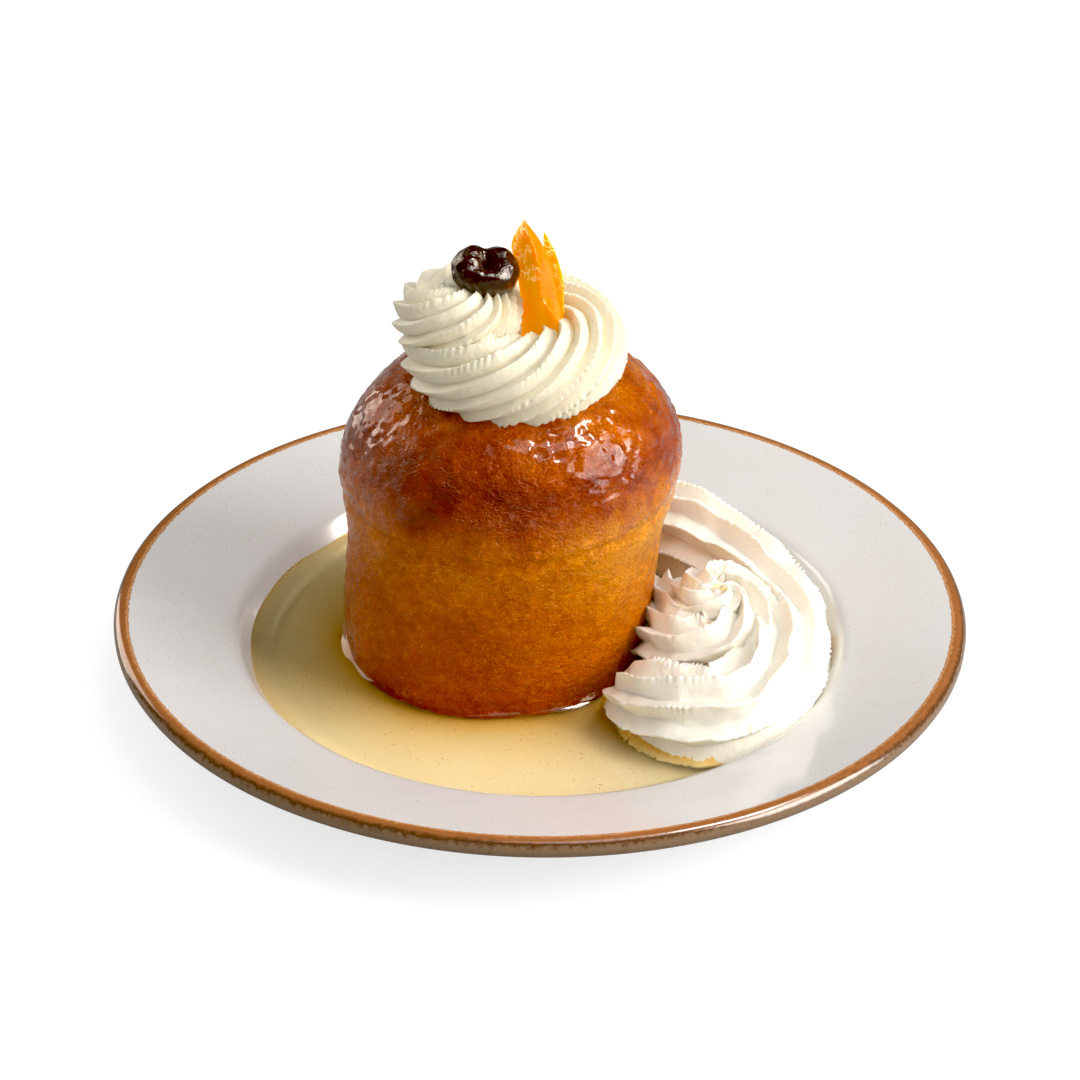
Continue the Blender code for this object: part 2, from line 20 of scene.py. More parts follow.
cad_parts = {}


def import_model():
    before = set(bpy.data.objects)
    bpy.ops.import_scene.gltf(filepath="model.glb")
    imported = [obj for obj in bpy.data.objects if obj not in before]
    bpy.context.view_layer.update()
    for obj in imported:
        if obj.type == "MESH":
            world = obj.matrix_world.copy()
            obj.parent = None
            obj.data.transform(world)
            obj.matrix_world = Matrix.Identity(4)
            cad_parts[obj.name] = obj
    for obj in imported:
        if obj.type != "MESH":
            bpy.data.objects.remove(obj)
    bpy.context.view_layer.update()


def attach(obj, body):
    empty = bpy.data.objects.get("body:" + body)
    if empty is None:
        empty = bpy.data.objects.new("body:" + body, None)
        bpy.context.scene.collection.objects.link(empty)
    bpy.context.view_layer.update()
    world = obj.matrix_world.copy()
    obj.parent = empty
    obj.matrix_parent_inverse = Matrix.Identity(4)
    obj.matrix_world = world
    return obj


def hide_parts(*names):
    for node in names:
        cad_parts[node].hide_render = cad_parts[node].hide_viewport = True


Array = np.ndarray
Face = bmesh.types.BMFace
Pair = tuple[float, float]
Triple = tuple[float, float, float]
Range = tuple[float, float, float, float]
Colour = tuple[float, float, float]
Material = bpy.types.Material
Mesh = bpy.types.Mesh
Node = bpy.types.Node
Piece = bpy.types.Object
Socket = bpy.types.NodeSocket
Sockets = bpy.types.NodeOutputs
Tree = bpy.types.NodeTree

MM = 0.001
TURN = 2 * math.pi
MIDDLE = (0.5, 0.5, 0.5)  # the middle of what a random colour can be
PHOTO_SIDE = 1080.0  # pixels along each side of the photograph
WHITE = (1.0, 1.0, 1.0)
ROUTE_ROWS = 1200  # rows in a rope's route before they are picked again
FOOTING = 0.6 * MM  # how far the cream reaches into the cake
CREAM_LUMPS = ((0.20 * MM, 6.5 * MM, 0.0), (0.10 * MM, 2.4 * MM, 0.4), (0.05 * MM, 1.1 * MM, 0.8))

log = logging.getLogger("baba")


class Cut(Enum):
    """What a Boolean does with the shapes that it is given."""

    JOIN = "UNION"
    TAKE_AWAY = "DIFFERENCE"


class Slot(Enum):
    """The record's material slots."""

    STONEWARE = "stoneware"
    CRUST = "soaked_crust"
    CREAM = "whipped_cream"
    CHERRY = "cherry_flesh"
    FRUIT = "candied_fruit"
    SYRUP = "clear_syrup"


class Relief:
    """Smooth random values in space, the same on every run."""

    CELLS = 32

    def __init__(self, seed: int) -> None:
        """Draws the values at the lattice's corners.

        Args:
            seed: Which of the many reliefs this one is.
        """
        side = self.CELLS
        self.corners = np.random.default_rng(seed).random((side, side, side)) * 2 - 1

    def at(self, points: Array, size: float | Triple) -> Array:
        """Values from -1 to 1 at points.

        Args:
            points: An array of rows of x, y and z.
            size: How far apart the bumps are, for each axis or for all of them.

        Returns:
            One value for each row.
        """
        scaled = points / np.asarray(size, float)
        cell = np.floor(scaled).astype(int)
        part = scaled - cell
        part = part * part * (3 - 2 * part)
        total = np.zeros(len(points))
        for corner in product((0, 1), repeat=3):
            share = np.prod(np.where(corner, part, 1 - part), axis=1)
            i, j, k = ((cell + corner) % self.CELLS).T
            total += share * self.corners[i, j, k]
        return total


def bumpy(relief: Relief, points: Array, layers: tuple, start: Array | float = 0.0) -> Array:
    """Adds layers of bumps to what each point is moved by already.

    Args:
        relief: The random values.
        points: An array of rows of x, y and z.
        layers: For each layer its height, its size and how far off the relief is read.
        start: How far each point is moved without them.

    Returns:
        How far each point is moved with them.
    """
    for height, size, away in layers:
        start = start + height * relief.at(points + away, size)
    return start


def smooth_step(low: float, high: float, value: Array) -> Array:
    """0 below low, 1 above high, and an even S-curve between."""
    share = np.clip((value - low) / (high - low), 0.0, 1.0)
    return share * share * (3 - 2 * share)


def ring_points(middle: Array, radius: Array, turns: Array, height: Array) -> Array:
    """Places points round a middle.

    Args:
        middle: The x and y of the middle, or of each ring's middle.
        radius: How far out each point lies.
        turns: The turn of each point.
        height: The z of each point, or of each ring.

    Returns:
        The points' x, y and z, in an array of the shape that all of these give together.
    """
    x = middle[..., :1] + radius * np.cos(turns)
    y = middle[..., 1:] + radius * np.sin(turns)
    return np.stack(np.broadcast_arrays(x, y, height), axis=-1)


def shaded(name: str, points: Array, faces: list[list[int]]) -> Piece:
    """A named mesh object in the scene, its faces turned outward.

    Args:
        name: The piece's name.
        points: Rows of x, y and z.
        faces: The corners of each face.

    Returns:
        The object.
    """
    mesh = bpy.data.meshes.new(name)
    mesh.from_pydata(points.tolist(), [], faces)
    shell = bmesh.new()
    shell.from_mesh(mesh)
    if shell.calc_volume(signed=True) < 0:
        bmesh.ops.reverse_faces(shell, faces=shell.faces)
    shell.to_mesh(mesh)
    shell.free()
    mesh.shade_smooth()
    piece = bpy.data.objects.new(name, mesh)
    bpy.context.scene.collection.objects.link(piece)
    return piece


def band_faces(rows: int, columns: int, closed: bool = False) -> list[list[int]]:
    """The quads between rows of points that each close into a ring.

    Args:
        rows: How many rings there are.
        columns: How many points each ring has.
        closed: Whether the last ring joins the first.

    Returns:
        The corners of each quad.
    """
    faces = []
    for i in range(rows if closed else rows - 1):
        low = i * columns
        high = (i + 1) % rows * columns
        for j in range(columns):
            k = (j + 1) % columns
            faces.append([low + j, low + k, high + k, high + j])
    return faces


def loft(name: str, rings: Array) -> Piece:
    """A closed body through rings, with a fan of faces over each end.

    Args:
        name: The object's name.
        rings: An array of rings, of points, of x, y and z.

    Returns:
        The object.
    """
    rows, columns = rings.shape[:2]
    points = np.vstack([rings.reshape(-1, 3), rings[0].mean(axis=0), rings[-1].mean(axis=0)])
    faces = band_faces(rows, columns)
    foot, top = len(points) - 2, len(points) - 1
    last = (rows - 1) * columns
    for j in range(columns):
        k = (j + 1) % columns
        faces.append([foot, k, j])
        faces.append([top, last + j, last + k])
    return shaded(name, points, faces)


def turned(name: str, profile: Array, segments: int) -> Piece:
    """A body turned about the Z axis from a closed outline of (radius, height) off the axis."""
    turns = np.linspace(0, TURN, segments, endpoint=False)
    return loft(name, ring_points(np.zeros(2), profile[:, :1], turns, profile[:, 1:]))


def combine(target: Piece, others: list[Piece], cut: Cut) -> None:
    """Applies one Boolean of target with other objects, which are then removed.

    Args:
        target: What is changed.
        others: The shapes that join it or are taken away from it.
        cut: Which of the two.
    """
    group = bpy.data.collections.new(target.name + "_shapes")
    bpy.context.scene.collection.children.link(group)
    for other in others:
        bpy.context.scene.collection.objects.unlink(other)
        group.objects.link(other)
    join = target.modifiers.new(cut.name.title(), "BOOLEAN")
    join.operation = cut.value
    join.solver = "MANIFOLD"
    join.operand_type = "COLLECTION"
    join.collection = group
    mesh = bpy.data.meshes.new_from_object(target.evaluated_get(bpy.context.evaluated_depsgraph_get()))
    target.modifiers.remove(join)
    target.data = mesh
    for other in others:
        bpy.data.objects.remove(other)
    bpy.data.collections.remove(group)


def joined_faces(start: Face, left: set[Face]) -> list[Face]:
    """Takes one body's faces out of a set.

    Args:
        start: One of the body's faces.
        left: The faces that no body has yet.

    Returns:
        The faces that can be reached from start across edges of two faces.
    """
    body, search = [], [start]
    left.discard(start)
    while search:
        face = search.pop()
        body.append(face)
        for edge in face.edges:
            if len(edge.link_faces) != 2:
                continue
            for other in edge.link_faces:
                if other in left:
                    left.discard(other)
                    search.append(other)
    return body


def keep_largest(piece: Piece) -> None:
    """Drops every scrap and flat flap that a cut left on the main body, and shades what stays.

    Args:
        piece: The object.
    """
    shell = bmesh.new()
    shell.from_mesh(piece.data)
    bmesh.ops.triangulate(shell, faces=shell.faces)
    left = set(shell.faces)
    bodies = []
    while left:
        bodies.append(joined_faces(next(iter(left)), left))
    bodies.sort(key=len)
    bmesh.ops.delete(shell, geom=[face for body in bodies[:-1] for face in body], context="FACES")
    shell.to_mesh(piece.data)
    shell.free()
    piece.data.shade_smooth()


def read(source: bpy.types.bpy_prop_collection, name: str) -> Array:
    """Reads a vector of each point of a mesh.

    Args:
        source: What holds the vectors.
        name: What they are called there.

    Returns:
        Rows of x, y and z.
    """
    flat = np.empty(len(source) * 3, np.float32)
    source.foreach_get(name, flat)
    return flat.reshape(-1, 3).astype(float)


def places(mesh: Mesh) -> Array:
    """The mesh's points as rows of x, y and z."""
    return read(mesh.vertices, "co")


def move(mesh: Mesh, spots: Array) -> None:
    """Puts each point of the mesh at its row of x, y and z."""
    mesh.vertices.foreach_set("co", spots.ravel())
    mesh.update()


def push(mesh: Mesh, amounts: Array) -> None:
    """Moves each point of the mesh outward by its own amount."""
    move(mesh, places(mesh) + read(mesh.vertex_normals, "vector") * amounts[:, None])


def mark(mesh: Mesh, name: str, values: Array) -> None:
    """Keeps one value for each point of the mesh, for its material to read by that name."""
    kept = mesh.attributes.new(name, "FLOAT", "POINT").data
    kept.foreach_set("value", values.astype(np.float32))


def nearest_rows(mesh: Mesh, route: Array) -> tuple[Array, Array]:
    """Finds the nearest row of a route for each point of a mesh.

    Args:
        mesh: The mesh.
        route: Rows that begin with x, y and z.

    Returns:
        The nearest rows, and how far off they are.
    """
    tree = kdtree.KDTree(len(route))
    for i, row in enumerate(route):
        tree.insert(row[:3], i)
    tree.balance()
    found = [tree.find(spot) for spot in places(mesh)]
    return route[[i for _, i, _ in found]], np.array([distance for _, _, distance in found])


def through(stations: tuple, count: int) -> Array:
    """A smooth curve through stations.

    Args:
        stations: Rows of numbers.
        count: How many rows the curve gets, at even steps from station to station.

    Returns:
        The curve's rows.
    """
    rows = np.asarray(stations, float)
    rows = np.vstack([2 * rows[0] - rows[1], rows, 2 * rows[-1] - rows[-2]])
    made = []
    for share in np.linspace(0, len(stations) - 1, count):
        i = min(int(share), len(stations) - 2)
        t = share - i
        a, b, c, d = rows[i : i + 4]
        bend = 2 * a - 5 * b + 4 * c - d + t * (3 * b - 3 * c + d - a)
        made.append(b + 0.5 * t * (c - a + t * bend))
    return np.array(made)


def run_lengths(spots: Array) -> Array:
    """How far along a route each of its points lies."""
    return np.r_[0, np.cumsum(np.linalg.norm(np.diff(spots, axis=0), axis=1))]


def evenly(curve: Array, step: float) -> Array:
    """Picks a curve's rows again, at even steps of length.

    Args:
        curve: Rows that begin with x, y and z.
        step: About how far apart the new rows are.

    Returns:
        The new rows.
    """
    lengths = run_lengths(curve[:, :3])
    wanted = np.linspace(0, lengths[-1], round(lengths[-1] / step))
    return np.column_stack([np.interp(wanted, lengths, column) for column in curve.T])


def place_field(right: float, back: float, height: float) -> Vector:
    """A dataclass field that holds a place given in millimetres."""
    return field(default_factory=lambda: Vector((right * MM, back * MM, height * MM)))


class Board:
    """Adds and joins the nodes of one material or group."""

    def __init__(self, tree: Tree) -> None:
        """Takes the tree that the nodes go in."""
        self.tree = tree

    def node(self, kind: str, inputs: dict | None = None, **settings: object) -> Node:
        """Adds a node.

        Args:
            kind: Its Blender type.
            inputs: A value, or another node's output, for each input by name or number.
            settings: The node's own settings.

        Returns:
            The node.
        """
        made = self.tree.nodes.new(kind)
        for name, value in settings.items():
            setattr(made, name, value)
        for name, value in (inputs or {}).items():
            if isinstance(value, Socket):
                self.tree.links.new(value, made.inputs[name])
            else:
                made.inputs[name].default_value = value
        return made

    def math(self, operation: str, one: object, two: object = 0.5, clamp: bool = False) -> Socket:
        """The outcome of a sum on one or two values."""
        made = self.node("ShaderNodeMath", {0: one, 1: two}, operation=operation, use_clamp=clamp)
        return made.outputs[0]

    def times(self, one: object, two: object) -> Socket:
        """The product of two values."""
        return self.math("MULTIPLY", one, two)

    def arrows(self, operation: str, one: object, two: object = MIDDLE, output: str = "Vector") -> Socket:
        """The outcome of a sum on one or two vectors."""
        made = self.node("ShaderNodeVectorMath", {0: one, 1: two}, operation=operation)
        return made.outputs[output]

    def mix(self, share: object, one: object, two: object, blend: str = "MIX") -> Socket:
        """Mixes two colours.

        Args:
            share: How much of the second there is, from 0 to 1.
            one: The first colour.
            two: The second colour.
            blend: How the second acts on the first, as Blender names it.

        Returns:
            The mixed colour.
        """
        one, two = ((*colour, 1) if isinstance(colour, tuple) else colour for colour in (one, two))
        inputs = {0: share, 6: one, 7: two}
        return self.node("ShaderNodeMix", inputs, data_type="RGBA", blend_type=blend).outputs[2]

    def tinted(self, colour: Socket, factors: Triple, share: object = 1.0) -> Socket:
        """A colour times factors for its red, green and blue, as far as share says."""
        return self.mix(share, colour, factors, "MULTIPLY")

    def span(
        self, value: Socket, low: object, high: object, at_low: float = 0.0, at_high: float = 1.0
    ) -> Socket:
        """The value moved from one range to another, smoothly and no further."""
        inputs = {"Value": value, "From Min": low, "From Max": high, "To Min": at_low, "To Max": at_high}
        return self.node("ShaderNodeMapRange", inputs, interpolation_type="SMOOTHSTEP").outputs[0]

    def ramp(self, value: Socket, stops: list[tuple[float, Colour]]) -> Socket:
        """Colours a value.

        Args:
            value: The value, from 0 to 1.
            stops: Values with the colours that they get.

        Returns:
            The colour, which changes evenly between the stops.
        """
        made = self.node("ShaderNodeValToRGB", {"Fac": value})
        elements = made.color_ramp.elements
        while len(elements) < len(stops):
            elements.new(1.0)
        for element, (place, colour) in zip(elements, stops):
            element.position = place
            element.color = (*colour, 1.0)
        return made.outputs["Color"]

    def noise(
        self, where: Socket, scale: object, detail: float, roughness: float = 0.55, distortion: float = 0.0
    ) -> Node:
        """Random values and colours about the middle, with that many bumps to the metre."""
        inputs = {"Vector": where, "Scale": scale, "Detail": detail, "Roughness": roughness}
        return self.node("ShaderNodeTexNoise", inputs | {"Distortion": distortion})

    def bumps(self, where: Socket, size: float, detail: float = 3.0, roughness: float = 0.55) -> Socket:
        """Random values about 0.5, with bumps of that size in metres."""
        return self.noise(where, 1 / size, detail, roughness).outputs[0]

    def drawn(self, where: Socket) -> Sockets:
        """A random value and a random colour for each place."""
        return self.node("ShaderNodeTexWhiteNoise", {"Vector": where}, noise_dimensions="3D").outputs

    def stretched(self, where: Socket, scale: Triple) -> Socket:
        """The places with each axis scaled, which stretches a pattern along the small ones."""
        return self.node("ShaderNodeMapping", {"Vector": where, "Scale": scale}).outputs[0]


class Groups:
    """The shader effects that several finishes share, each built once."""

    def __init__(self) -> None:
        """Builds each group."""
        patches = {"Scale": 100.0, "Contrast": 1.0}
        self.mottle = self.group("mottle", patches, "Mask", self.draw_mottle)
        relief = {"Wide Scale": 200.0, "Fine Scale": 900.0, "Fine Share": 0.4}
        self.skin = self.group("skin_relief", relief, "Height", self.draw_skin)
        tangle = {"Scale": 300.0, "Width": 0.3, "Lines": 2.4, "Tangle": 0.5}
        self.fibres = self.group("fibres", tangle, "Mask", self.draw_fibres)

    @staticmethod
    def group(name: str, values: dict[str, float], output: str, draw: Callable) -> Tree:
        """A new group with named sockets.

        Args:
            name: The group's name.
            values: What each number starts as. Before the numbers comes an input named Vector.
            output: The name of its one output.
            draw: What adds the nodes to a board, from the inputs, and gives the output's value.

        Returns:
            The group's tree.
        """
        tree = bpy.data.node_groups.new(name, "ShaderNodeTree")
        tree.interface.new_socket("Vector", in_out="INPUT", socket_type="NodeSocketVector")
        for label, value in values.items():
            number = tree.interface.new_socket(label, in_out="INPUT", socket_type="NodeSocketFloat")
            number.default_value = value
        tree.interface.new_socket(output, in_out="OUTPUT", socket_type="NodeSocketFloat")
        board = Board(tree)
        board.node("NodeGroupOutput", {output: draw(board, board.node("NodeGroupInput").outputs)})
        return tree

    @staticmethod
    def draw_mottle(board: Board, given: Sockets) -> Socket:
        """Cloudy patches with finer ones in them, from 0 to 1.

        Args:
            board: The group's board.
            given: The group's inputs.

        Returns:
            The mask.
        """
        clouds = board.noise(given["Vector"], given["Scale"], 5.0, 0.6).outputs[0]
        stronger = board.times(board.math("SUBTRACT", clouds, 0.5), given["Contrast"])
        return board.math("ADD", stronger, 0.5, clamp=True)

    @staticmethod
    def draw_skin(board: Board, given: Sockets) -> Socket:
        """The height of a moist skin: wide folds with fine grain on them.

        Args:
            board: The group's board.
            given: The group's inputs.

        Returns:
            The height.
        """
        wide = board.noise(given["Vector"], given["Wide Scale"], 2.0, 0.5, 0.6).outputs[0]
        fine = board.noise(given["Vector"], given["Fine Scale"], 3.0, 0.6).outputs[0]
        return board.math("ADD", wide, board.times(fine, given["Fine Share"]))

    @staticmethod
    def draw_fibres(board: Board, given: Sockets) -> Socket:
        """Short curved fibres that lie all ways, 1 along their middle and 0 between them.

        Args:
            board: The group's board.
            given: The group's inputs.

        Returns:
            The mask.
        """
        where, scale = given["Vector"], given["Scale"]
        drift = board.arrows("SUBTRACT", board.noise(where, scale, 2.0, 0.6).outputs["Color"], MIDDLE)
        reach = board.times(board.math("DIVIDE", given["Tangle"], scale), 4.0)
        bent = board.arrows("ADD", where, board.arrows("MULTIPLY", drift, reach))
        cells = board.node("ShaderNodeTexVoronoi", {"Vector": bent, "Scale": scale}).outputs
        drawn = board.drawn(cells["Position"])
        way = board.arrows("NORMALIZE", board.arrows("SUBTRACT", drawn["Color"], MIDDLE))
        inside = board.arrows("SUBTRACT", bent, cells["Position"])
        along = board.arrows("DOT_PRODUCT", inside, way, output="Value")
        count = board.times(board.times(along, scale), given["Lines"])
        phase = board.math("ADD", count, drawn["Value"])
        off = board.times(board.math("PINGPONG", phase, 0.5), 2.0)
        ends = board.span(cells["Distance"], 0.35, 0.7, 1.0, 0.0)
        return board.times(board.span(off, 0.0, given["Width"], 1.0, 0.0), ends)


class Bench(Board):
    """The board of one Principled material, with the shared effects at hand."""

    def __init__(self, groups: Groups, name: str, **plain: object) -> None:
        """Makes the material.

        Args:
            groups: The shared effects.
            name: The material's name.
            plain: The values that are the same all over, by socket name with _ for each space.
        """
        self.groups = groups
        self.made = bpy.data.materials.new(name)
        self.made.use_nodes = True
        super().__init__(self.made.node_tree)
        self.shader = self.tree.nodes["Principled BSDF"]
        for label, value in plain.items():
            self.shader.inputs[label.replace("_", " ")].default_value = value
        self.where = self.node("ShaderNodeTexCoord").outputs["Object"]

    def feed(self, label: str, value: Socket) -> None:
        """Feeds one of the shader's inputs."""
        self.tree.links.new(value, self.shader.inputs[label])

    def cover(self, surface: Socket) -> None:
        """Gives the material another surface than its Principled node alone."""
        self.tree.links.new(surface, self.tree.nodes["Material Output"].inputs["Surface"])

    def kept(self, name: str) -> Socket:
        """The value that the mesh keeps by that name."""
        return self.node("ShaderNodeAttribute", attribute_name=name).outputs["Fac"]

    def effect(self, tree: Tree, where: Socket, **values: float) -> Socket:
        """What a shared group gives, its numbers set by socket name with _ for each space."""
        inputs = {"Vector": where} | {label.replace("_", " "): value for label, value in values.items()}
        return self.node("ShaderNodeGroup", inputs, node_tree=tree).outputs[0]

    def mottle(self, where: Socket, size: float, contrast: float) -> Socket:
        """The mottle group's mask, with patches of that size in metres."""
        return self.effect(self.groups.mottle, where, Scale=1 / size, Contrast=contrast)

    def skin(self, where: Socket, wide: float, fine: float, share: float) -> Socket:
        """The skin group's height, with folds and grain of those sizes in metres."""
        sizes = {"Wide_Scale": 1 / wide, "Fine_Scale": 1 / fine}
        return self.effect(self.groups.skin, where, **sizes, Fine_Share=share)

    def threads(self, where: Socket, size: float, width: float, lines: float) -> Socket:
        """The fibres group's mask, with fibres about as long as that size in metres."""
        return self.effect(self.groups.fibres, where, Scale=1 / size, Width=width, Lines=lines)

    def bump(self, *reliefs: tuple[Socket, float]) -> None:
        """Feeds the shader's normal from heights that lie on one another.

        Args:
            reliefs: Each height and its depth in metres.
        """
        inputs = {"Strength": 1.0}
        for height, depth in reliefs:
            inputs |= {"Height": height, "Distance": depth}
            inputs["Normal"] = self.node("ShaderNodeBump", inputs).outputs[0]
        self.feed("Normal", inputs["Normal"])


@dataclass(frozen=True)
class Finish:
    """What each kind of finish is made with."""

    groups: Groups


@dataclass(frozen=True)
class Stoneware(Finish):
    """Pale warm grey glaze with fine brown specks and a brown band round the rim."""

    glaze: Colour = (0.728, 0.718, 0.716)
    warm_glaze: Colour = (0.700, 0.676, 0.652)
    speck: Colour = (0.33, 0.13, 0.055)
    band_light: Colour = (0.62, 0.30, 0.13)
    band_mid: Colour = (0.34, 0.125, 0.045)
    band_dark: Colour = (0.10, 0.040, 0.020)
    outer_side: Colour = (0.25, 0.155, 0.095)
    cloud_size: float = 30 * MM
    crowd_size: float = 14 * MM
    cloud_contrast: float = 1.4
    crowd_range: Range = (0.36, 0.60, 0.25, 1.0)
    large_specks: Triple = (3.4 * MM, 0.80, 0.10)
    small_specks: Triple = (1.05 * MM, 0.30, 0.25)
    speck_edge: float = 0.06
    speck_strength: float = 0.8
    rim_specks: float = 0.6
    rim_start: Pair = (72 * MM, 84 * MM)
    band_start: float = 115.6 * MM
    band_raggedness: float = 0.9 * MM
    ragged_size: float = 1.1 * MM
    uneven_size: float = 1.6 * MM
    unevenness: float = 0.35
    band_fade: Pair = (0.25 * MM, 0.55 * MM)
    side_top: Pair = (20.6 * MM, 19.4 * MM)
    side_end: Pair = (16.4 * MM, 17.6 * MM)
    plate_radius: float = 120.0 * MM
    folds: Triple = (6 * MM, 1.2 * MM, 0.25)
    fold_depth: float = 0.03 * MM

    def build(self) -> Material:
        """Mixes the finish.

        Returns:
            The material.
        """
        coat = {"Coat_Weight": 0.35, "Coat_Roughness": 0.06}
        bench = Bench(self.groups, "stoneware_glaze", Roughness=0.16, IOR=1.5, **coat)
        right, back, height = bench.node("ShaderNodeSeparateXYZ", {0: bench.where}).outputs
        flat = bench.node("ShaderNodeCombineXYZ", {0: right, 1: back}).outputs[0]
        radius = bench.arrows("LENGTH", flat, output="Value")
        cloud = bench.mottle(bench.where, self.cloud_size, self.cloud_contrast)
        ground = bench.mix(cloud, self.glaze, self.warm_glaze)
        thinner = bench.span(radius, *self.rim_start, 1.0, self.rim_specks)
        speckled = bench.mix(bench.times(self.specks(bench), thinner), ground, self.speck)
        bench.feed("Base Color", self.banded(bench, speckled, radius, height))
        bench.bump((bench.skin(bench.where, *self.folds), self.fold_depth))
        return bench.made

    def banded(self, bench: Bench, ground: Socket, radius: Socket, height: Socket) -> Socket:
        """Colours the rim's edge.

        Args:
            bench: The material's bench.
            ground: The colour of the rest of the plate.
            radius: How far from the plate's axis each place lies.
            height: How high it lies.

        Returns:
            The ground's colour, with the brown band over it.
        """
        ragged = bench.times(bench.bumps(bench.where, self.ragged_size, 2.0), self.band_raggedness)
        past = bench.math("ADD", bench.math("SUBTRACT", radius, self.band_start), ragged)
        across = bench.math("DIVIDE", past, self.plate_radius - self.band_start)
        uneven = bench.math("SUBTRACT", bench.bumps(bench.where, self.uneven_size), 0.5)
        uneven = bench.times(uneven, self.unevenness)
        stops = [
            (0.06, self.band_mid),
            (0.20, self.band_light),
            (0.34, self.band_mid),
            (0.62, self.band_mid),
            (0.86, self.band_dark),
            (1.00, self.outer_side),
        ]
        brown = bench.ramp(bench.math("ADD", across, uneven), stops)
        brown = bench.mix(bench.span(height, *self.side_top), brown, self.outer_side)
        band = bench.times(bench.span(past, *self.band_fade), bench.span(height, *self.side_end))
        return bench.mix(band, ground, brown)

    def dots(self, bench: Bench, apart: float, fewest: float, reach: float) -> Socket:
        """Scatters round specks of many sizes.

        Args:
            bench: The material's bench.
            apart: How far apart the cells are that may each hold a speck.
            fewest: The share of the cells that hold none.
            reach: The largest speck's radius, as a share of a cell.

        Returns:
            A mask, 1 in a speck.
        """
        cells = bench.node("ShaderNodeTexVoronoi", {"Vector": bench.where, "Scale": 1 / apart}).outputs
        wide = bench.span(bench.drawn(cells["Position"])["Value"], fewest, 1.0, 0.0, reach)
        return bench.span(bench.math("SUBTRACT", wide, cells["Distance"]), 0.0, self.speck_edge)

    def specks(self, bench: Bench) -> Socket:
        """Scatters fine specks, thicker in some places than in others.

        Args:
            bench: The material's bench.

        Returns:
            A mask, 1 in a speck.
        """
        crowd = bench.span(bench.bumps(bench.where, self.crowd_size, 2.0), *self.crowd_range)
        large = bench.times(self.dots(bench, *self.large_specks), self.speck_strength)
        small = bench.times(self.dots(bench, *self.small_specks), self.speck_strength)
        return bench.times(bench.math("MAXIMUM", large, small), crowd)


